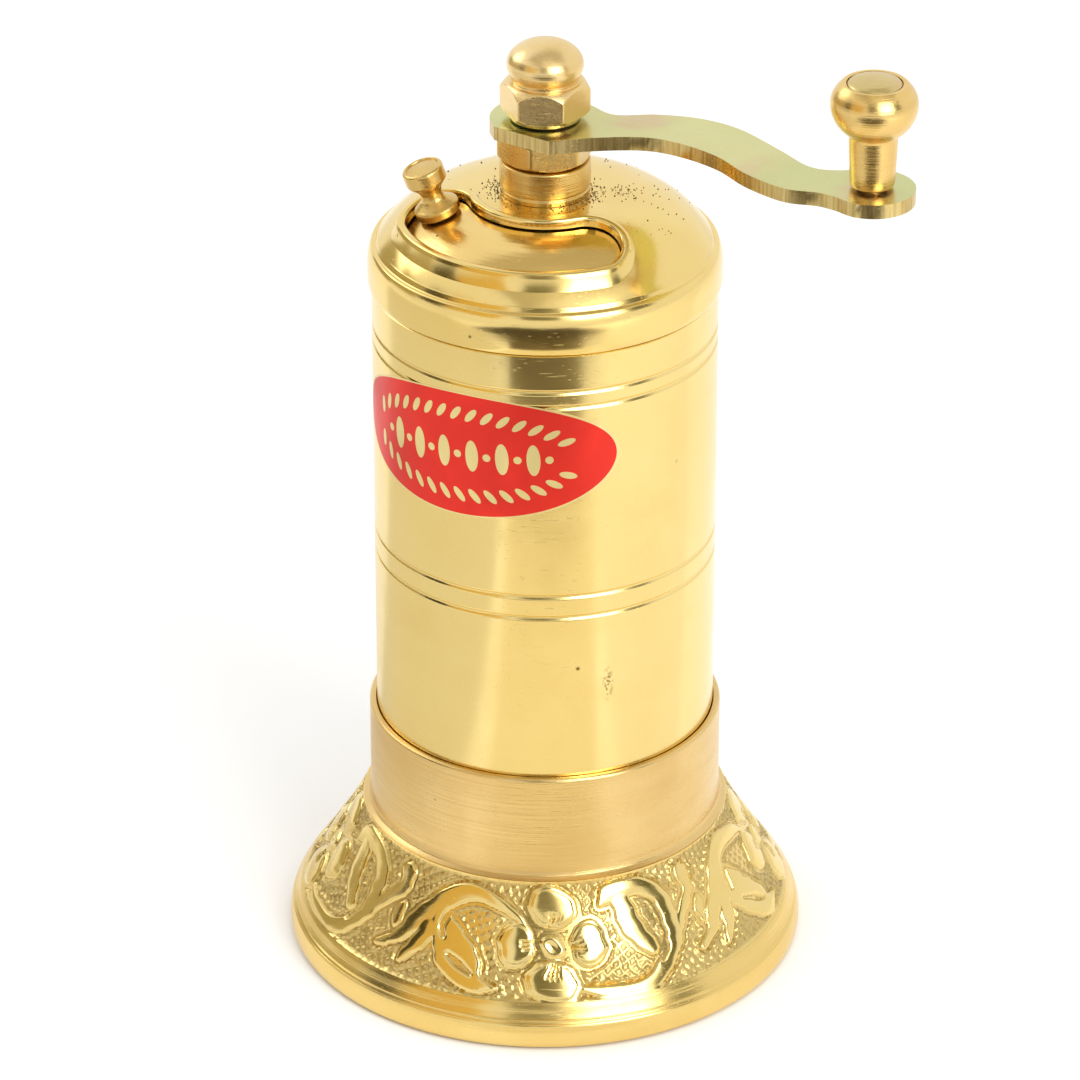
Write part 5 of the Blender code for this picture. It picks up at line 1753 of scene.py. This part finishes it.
@dataclass
class Studio:
    """A pale floor, soft light, dark flags and floor sheets that only the metal sees; the sheets
    paint darker surroundings into its reflections.
    """

    camera_place: tuple[float, float, float] = (-0.0008, -0.8636, 0.5287)
    look_down_deg: float = 27.95
    lens: float = 201.3
    light_colour: Colour = (1.0, 0.99, 0.97)
    card_distance: float = 0.9

    def camera(self) -> None:
        """Place the camera at the chosen viewing angle."""
        data = bpy.data.cameras.new("camera")
        data.lens = self.lens
        data.sensor_width = 36.0
        data.clip_start, data.clip_end = 0.01, 20.0
        made = linked("camera", data)
        made.location = self.camera_place
        made.rotation_euler = (math.radians(90.0 - self.look_down_deg), 0.0, 0.0)
        bpy.context.scene.camera = made

    def world(self) -> None:
        """Light everything with an even white surround."""
        world = bpy.data.worlds.new("studio")
        world.use_nodes = True
        back = world.node_tree.nodes["Background"]
        back.inputs["Color"].default_value = (1.0, 1.0, 1.0, 1.0)
        back.inputs["Strength"].default_value = 1.0
        bpy.context.scene.world = world
        bpy.context.scene.view_settings.view_transform = "Standard"

    def softbox(
        self, name: str, azimuth: float, elevation: float, distance: float,
        size: tuple[float, float], radiance: float,
    ) -> None:
        """Hang a rectangular light that faces the mill.

        Args:
            name: Its name.
            azimuth: Its direction in degrees, anticlockwise from +X.
            elevation: Its height above the horizon in degrees.
            distance: How far it hangs from the mill, in metres.
            size: Width and height in metres.
            radiance: How bright its face is.
        """
        data = bpy.data.lights.new(name, "AREA")
        data.shape = "RECTANGLE"
        data.size, data.size_y = size
        data.energy = radiance * math.pi * size[0] * size[1]
        data.color = self.light_colour
        self.aim(linked(name, data), azimuth, elevation, distance)

    def aim(self, obj: Object, azimuth: float, elevation: float, distance: float) -> None:
        """Place an object on a sphere round the mill, facing its middle."""
        a, e = math.radians(azimuth), math.radians(elevation)
        out = Vector((math.cos(a) * math.cos(e), math.sin(a) * math.cos(e), math.sin(e)))
        obj.location = Vector((0.0, 0.0, 0.08)) + out * distance
        obj.rotation_mode = "QUATERNION"
        obj.rotation_quaternion = (-out).to_track_quat("-Z", "Y")

    def sheet(
        self, name: str, corners: Profile, height: float, colour: Colour
    ) -> Object:
        """A flat stage sheet of one colour.

        Args:
            name: Its name.
            corners: Its four corners, (x, y) in metres.
            height: How high it lies.
            colour: Its colour.

        Returns:
            The sheet.
        """
        mesh = bpy.data.meshes.new(name)
        mesh.from_pydata([(x, y, height) for x, y in corners], [], [(0, 1, 2, 3)])
        paint, _, shader = new_material(name)
        shader.inputs["Base Color"].default_value = (*colour, 1.0)
        shader.inputs["Roughness"].default_value = 0.9
        shader.inputs["Specular IOR Level"].default_value = 0.0
        mesh.materials.append(paint)
        made = linked(name, mesh)
        return made

    def flag(
        self, name: str, azimuth: float, elevation: float, distance: float,
        size: tuple[float, float], colour: Colour,
    ) -> None:
        """A dark card that shows only in reflections."""
        card = self.sheet(name, rectangle(size[0] / 2, size[1] / 2), 0.0, colour)
        self.aim(card, azimuth, elevation, distance)
        self.hide_from_camera(card)

    def hide_from_camera(self, obj: Object) -> None:
        """Let only reflections see an object."""
        obj.visible_camera = False
        obj.visible_diffuse = False
        obj.visible_shadow = False

    def build(self) -> None:
        """Set up the studio."""
        self.camera()
        self.world()
        self.sheet("floor", rectangle(4.0, 4.0), -0.0003, (0.93, 0.93, 0.925))
        # Sheets over the floor that only reflections see: their colours are a painted reflection of
        # the surroundings, dark in front and dimmer than the floor elsewhere, darkest on the left,
        # as painted shade.
        for name, colour, corners in (
            (
                "near_table_edge_reflection", (0.13, 0.10, 0.055),
                ((-0.10, -0.25), (0.105, -0.25), (0.09, -0.213), (-0.085, -0.213)),
            ),
            (
                "far_table_reflection", (0.045, 0.034, 0.02),
                ((-0.32, -0.9), (0.26, -0.9), (0.21, -0.25), (-0.26, -0.25)),
            ),
            (
                "left_table_reflection", (0.68, 0.66, 0.60),
                ((-0.60, -0.3), (-0.10, -0.213), (-0.05, 0.06), (-0.60, 0.25)),
            ),
            (
                "middle_table_reflection", (0.79, 0.745, 0.62),
                ((-0.085, -0.213), (0.128, -0.213), (0.035, -0.06), (-0.05, -0.06)),
            ),
            (
                "right_table_reflection", (0.86, 0.84, 0.81),
                ((0.128, -0.213), (0.60, -0.3), (0.60, 0.25), (0.05, -0.02)),
            ),
        ):
            self.hide_from_camera(self.sheet(name, corners, 0.0004, colour))
        self.softbox("key", -57.0, 30.0, 0.9, (0.46, 0.50), 5.0)
        self.softbox("fill", 150.0, 34.0, 1.1, (0.5, 0.5), 1.5)
        self.softbox("top_strip", -70.0, 68.0, 0.9, (0.10, 0.35), 4.0)
        for azimuth, elevation, width, height, colour in (
            (-28.0, 26.0, 0.26, 0.46, (0.11, 0.11, 0.06)),
            (-93.0, 33.0, 0.36, 0.50, (0.17, 0.16, 0.10)),
            (-137.0, 28.0, 0.56, 0.50, (0.66, 0.47, 0.16)),
            (-166.0, 22.0, 0.30, 0.46, (0.06, 0.05, 0.02)),
            (-190.0, 15.0, 0.40, 0.42, (0.42, 0.36, 0.21)),
            (-216.0, 8.0, 0.44, 0.36, (0.38, 0.33, 0.19)),
        ):
            name = f"flag_{int(-azimuth)}"
            self.flag(name, azimuth, elevation, self.card_distance, (width, height), colour)
        self.flag("ceiling", -60.0, 84.0, 0.8, (1.0, 0.8), (0.50, 0.47, 0.39))


def make_finishes() -> Finishes:
    """Make every finish once.

    Returns:
        The materials by the short name that the builders use.
    """
    groups = {"turning": turning_group(), "handling": handling_group()}
    shiny = {"line_depth": 0.12, "lines_per_metre": 2500.0}
    ringed = {"lines_per_metre": 3200.0, "streak": 0.5}
    table = {
        "polished": ScuffedMetal(
            "polished_brass", (0.91, 0.715, 0.30), (0.85, 0.63, 0.225), 0.15,
            wave_depth=1.6, streak=0.25, **shiny,
        ),
        "cap": Metal(
            "spun_brass", (0.90, 0.69, 0.27), (0.83, 0.59, 0.19), 0.12,
            wave_depth=0.8, streak=0.2, pit_dark=0.8, **shiny,
        ),
        "door": Metal("door_brass", (0.92, 0.68, 0.26), (0.84, 0.57, 0.19), 0.15, pit_dark=0.9),
        "satin": Metal(
            "satin_brass", (0.80, 0.58, 0.23), (0.64, 0.41, 0.11), 0.22,
            line_depth=2.4, lines_per_metre=3200.0, streak=0.6,
        ),
        "acorn": Metal(
            "acorn_brass", (0.92, 0.71, 0.37), (0.78, 0.54, 0.19), 0.23, line_depth=2.2, **ringed
        ),
        "pin": PassivatedMetal(
            "aged_brass", (0.76, 0.60, 0.27), (0.60, 0.44, 0.16), 0.24,
            line_depth=0.4, wave_depth=0.6, streak=0.3,
        ),
        "band": Metal(
            "band_brass", (0.84, 0.62, 0.27), (0.74, 0.51, 0.20), 0.24,
            line_depth=6.0, lines_per_metre=1900.0, streak=1.0,
        ),
        "knob": Metal(
            "knob_brass", (0.88, 0.64, 0.25), (0.74, 0.48, 0.15), 0.20,
            line_depth=2.2, centre=Crank().knob_axis(), **ringed,
        ),
        "engraved": EngravedMetal(
            "engraved_brass", (0.88, 0.69, 0.28), (0.82, 0.58, 0.19), 0.11,
            line_depth=0.3, lines_per_metre=3000.0, streak=0.4,
        ),
        "rim": Metal(
            "rim_brass", (0.88, 0.67, 0.26), (0.78, 0.53, 0.16), 0.17,
            line_depth=2.0, lines_per_metre=2600.0, streak=0.5,
        ),
        "plated": PassivatedMetal(
            "plated_steel", (0.70, 0.67, 0.31), (0.60, 0.56, 0.24), 0.22,
            line_depth=0.3, wave_depth=1.2, streak=0.15,
        ),
        "steel": Metal("bright_steel", (0.58, 0.58, 0.59), (0.42, 0.42, 0.43), 0.30),
        "iron": Metal("cast_iron", (0.20, 0.19, 0.19), (0.12, 0.11, 0.11), 0.55, line_depth=1.0),
        "foil_red": Foil("red_foil", (0.90, 0.040, 0.026), 0.30, 0.7),
        "foil_gold": Foil("gold_foil", (0.93, 0.76, 0.34), 0.25, 0.7),
        "crumb": PepperSkin(),
    }
    return {name: finish.build(groups) for name, finish in table.items()}


def main() -> None:
    """Build the mill round its frame, then the studio."""
    logging.basicConfig(level=logging.INFO, format="%(name)s: %(message)s")
    finishes = make_finishes()
    Receiver().build(finishes)
    Housing().build(finishes)
    Crank().build(finishes)
    Label().build(finishes)
    Crumbs().build(finishes)
    Spring().build(finishes)
    Mechanism().build(finishes)
    Studio().build()


if __name__ == "__main__":
    main()
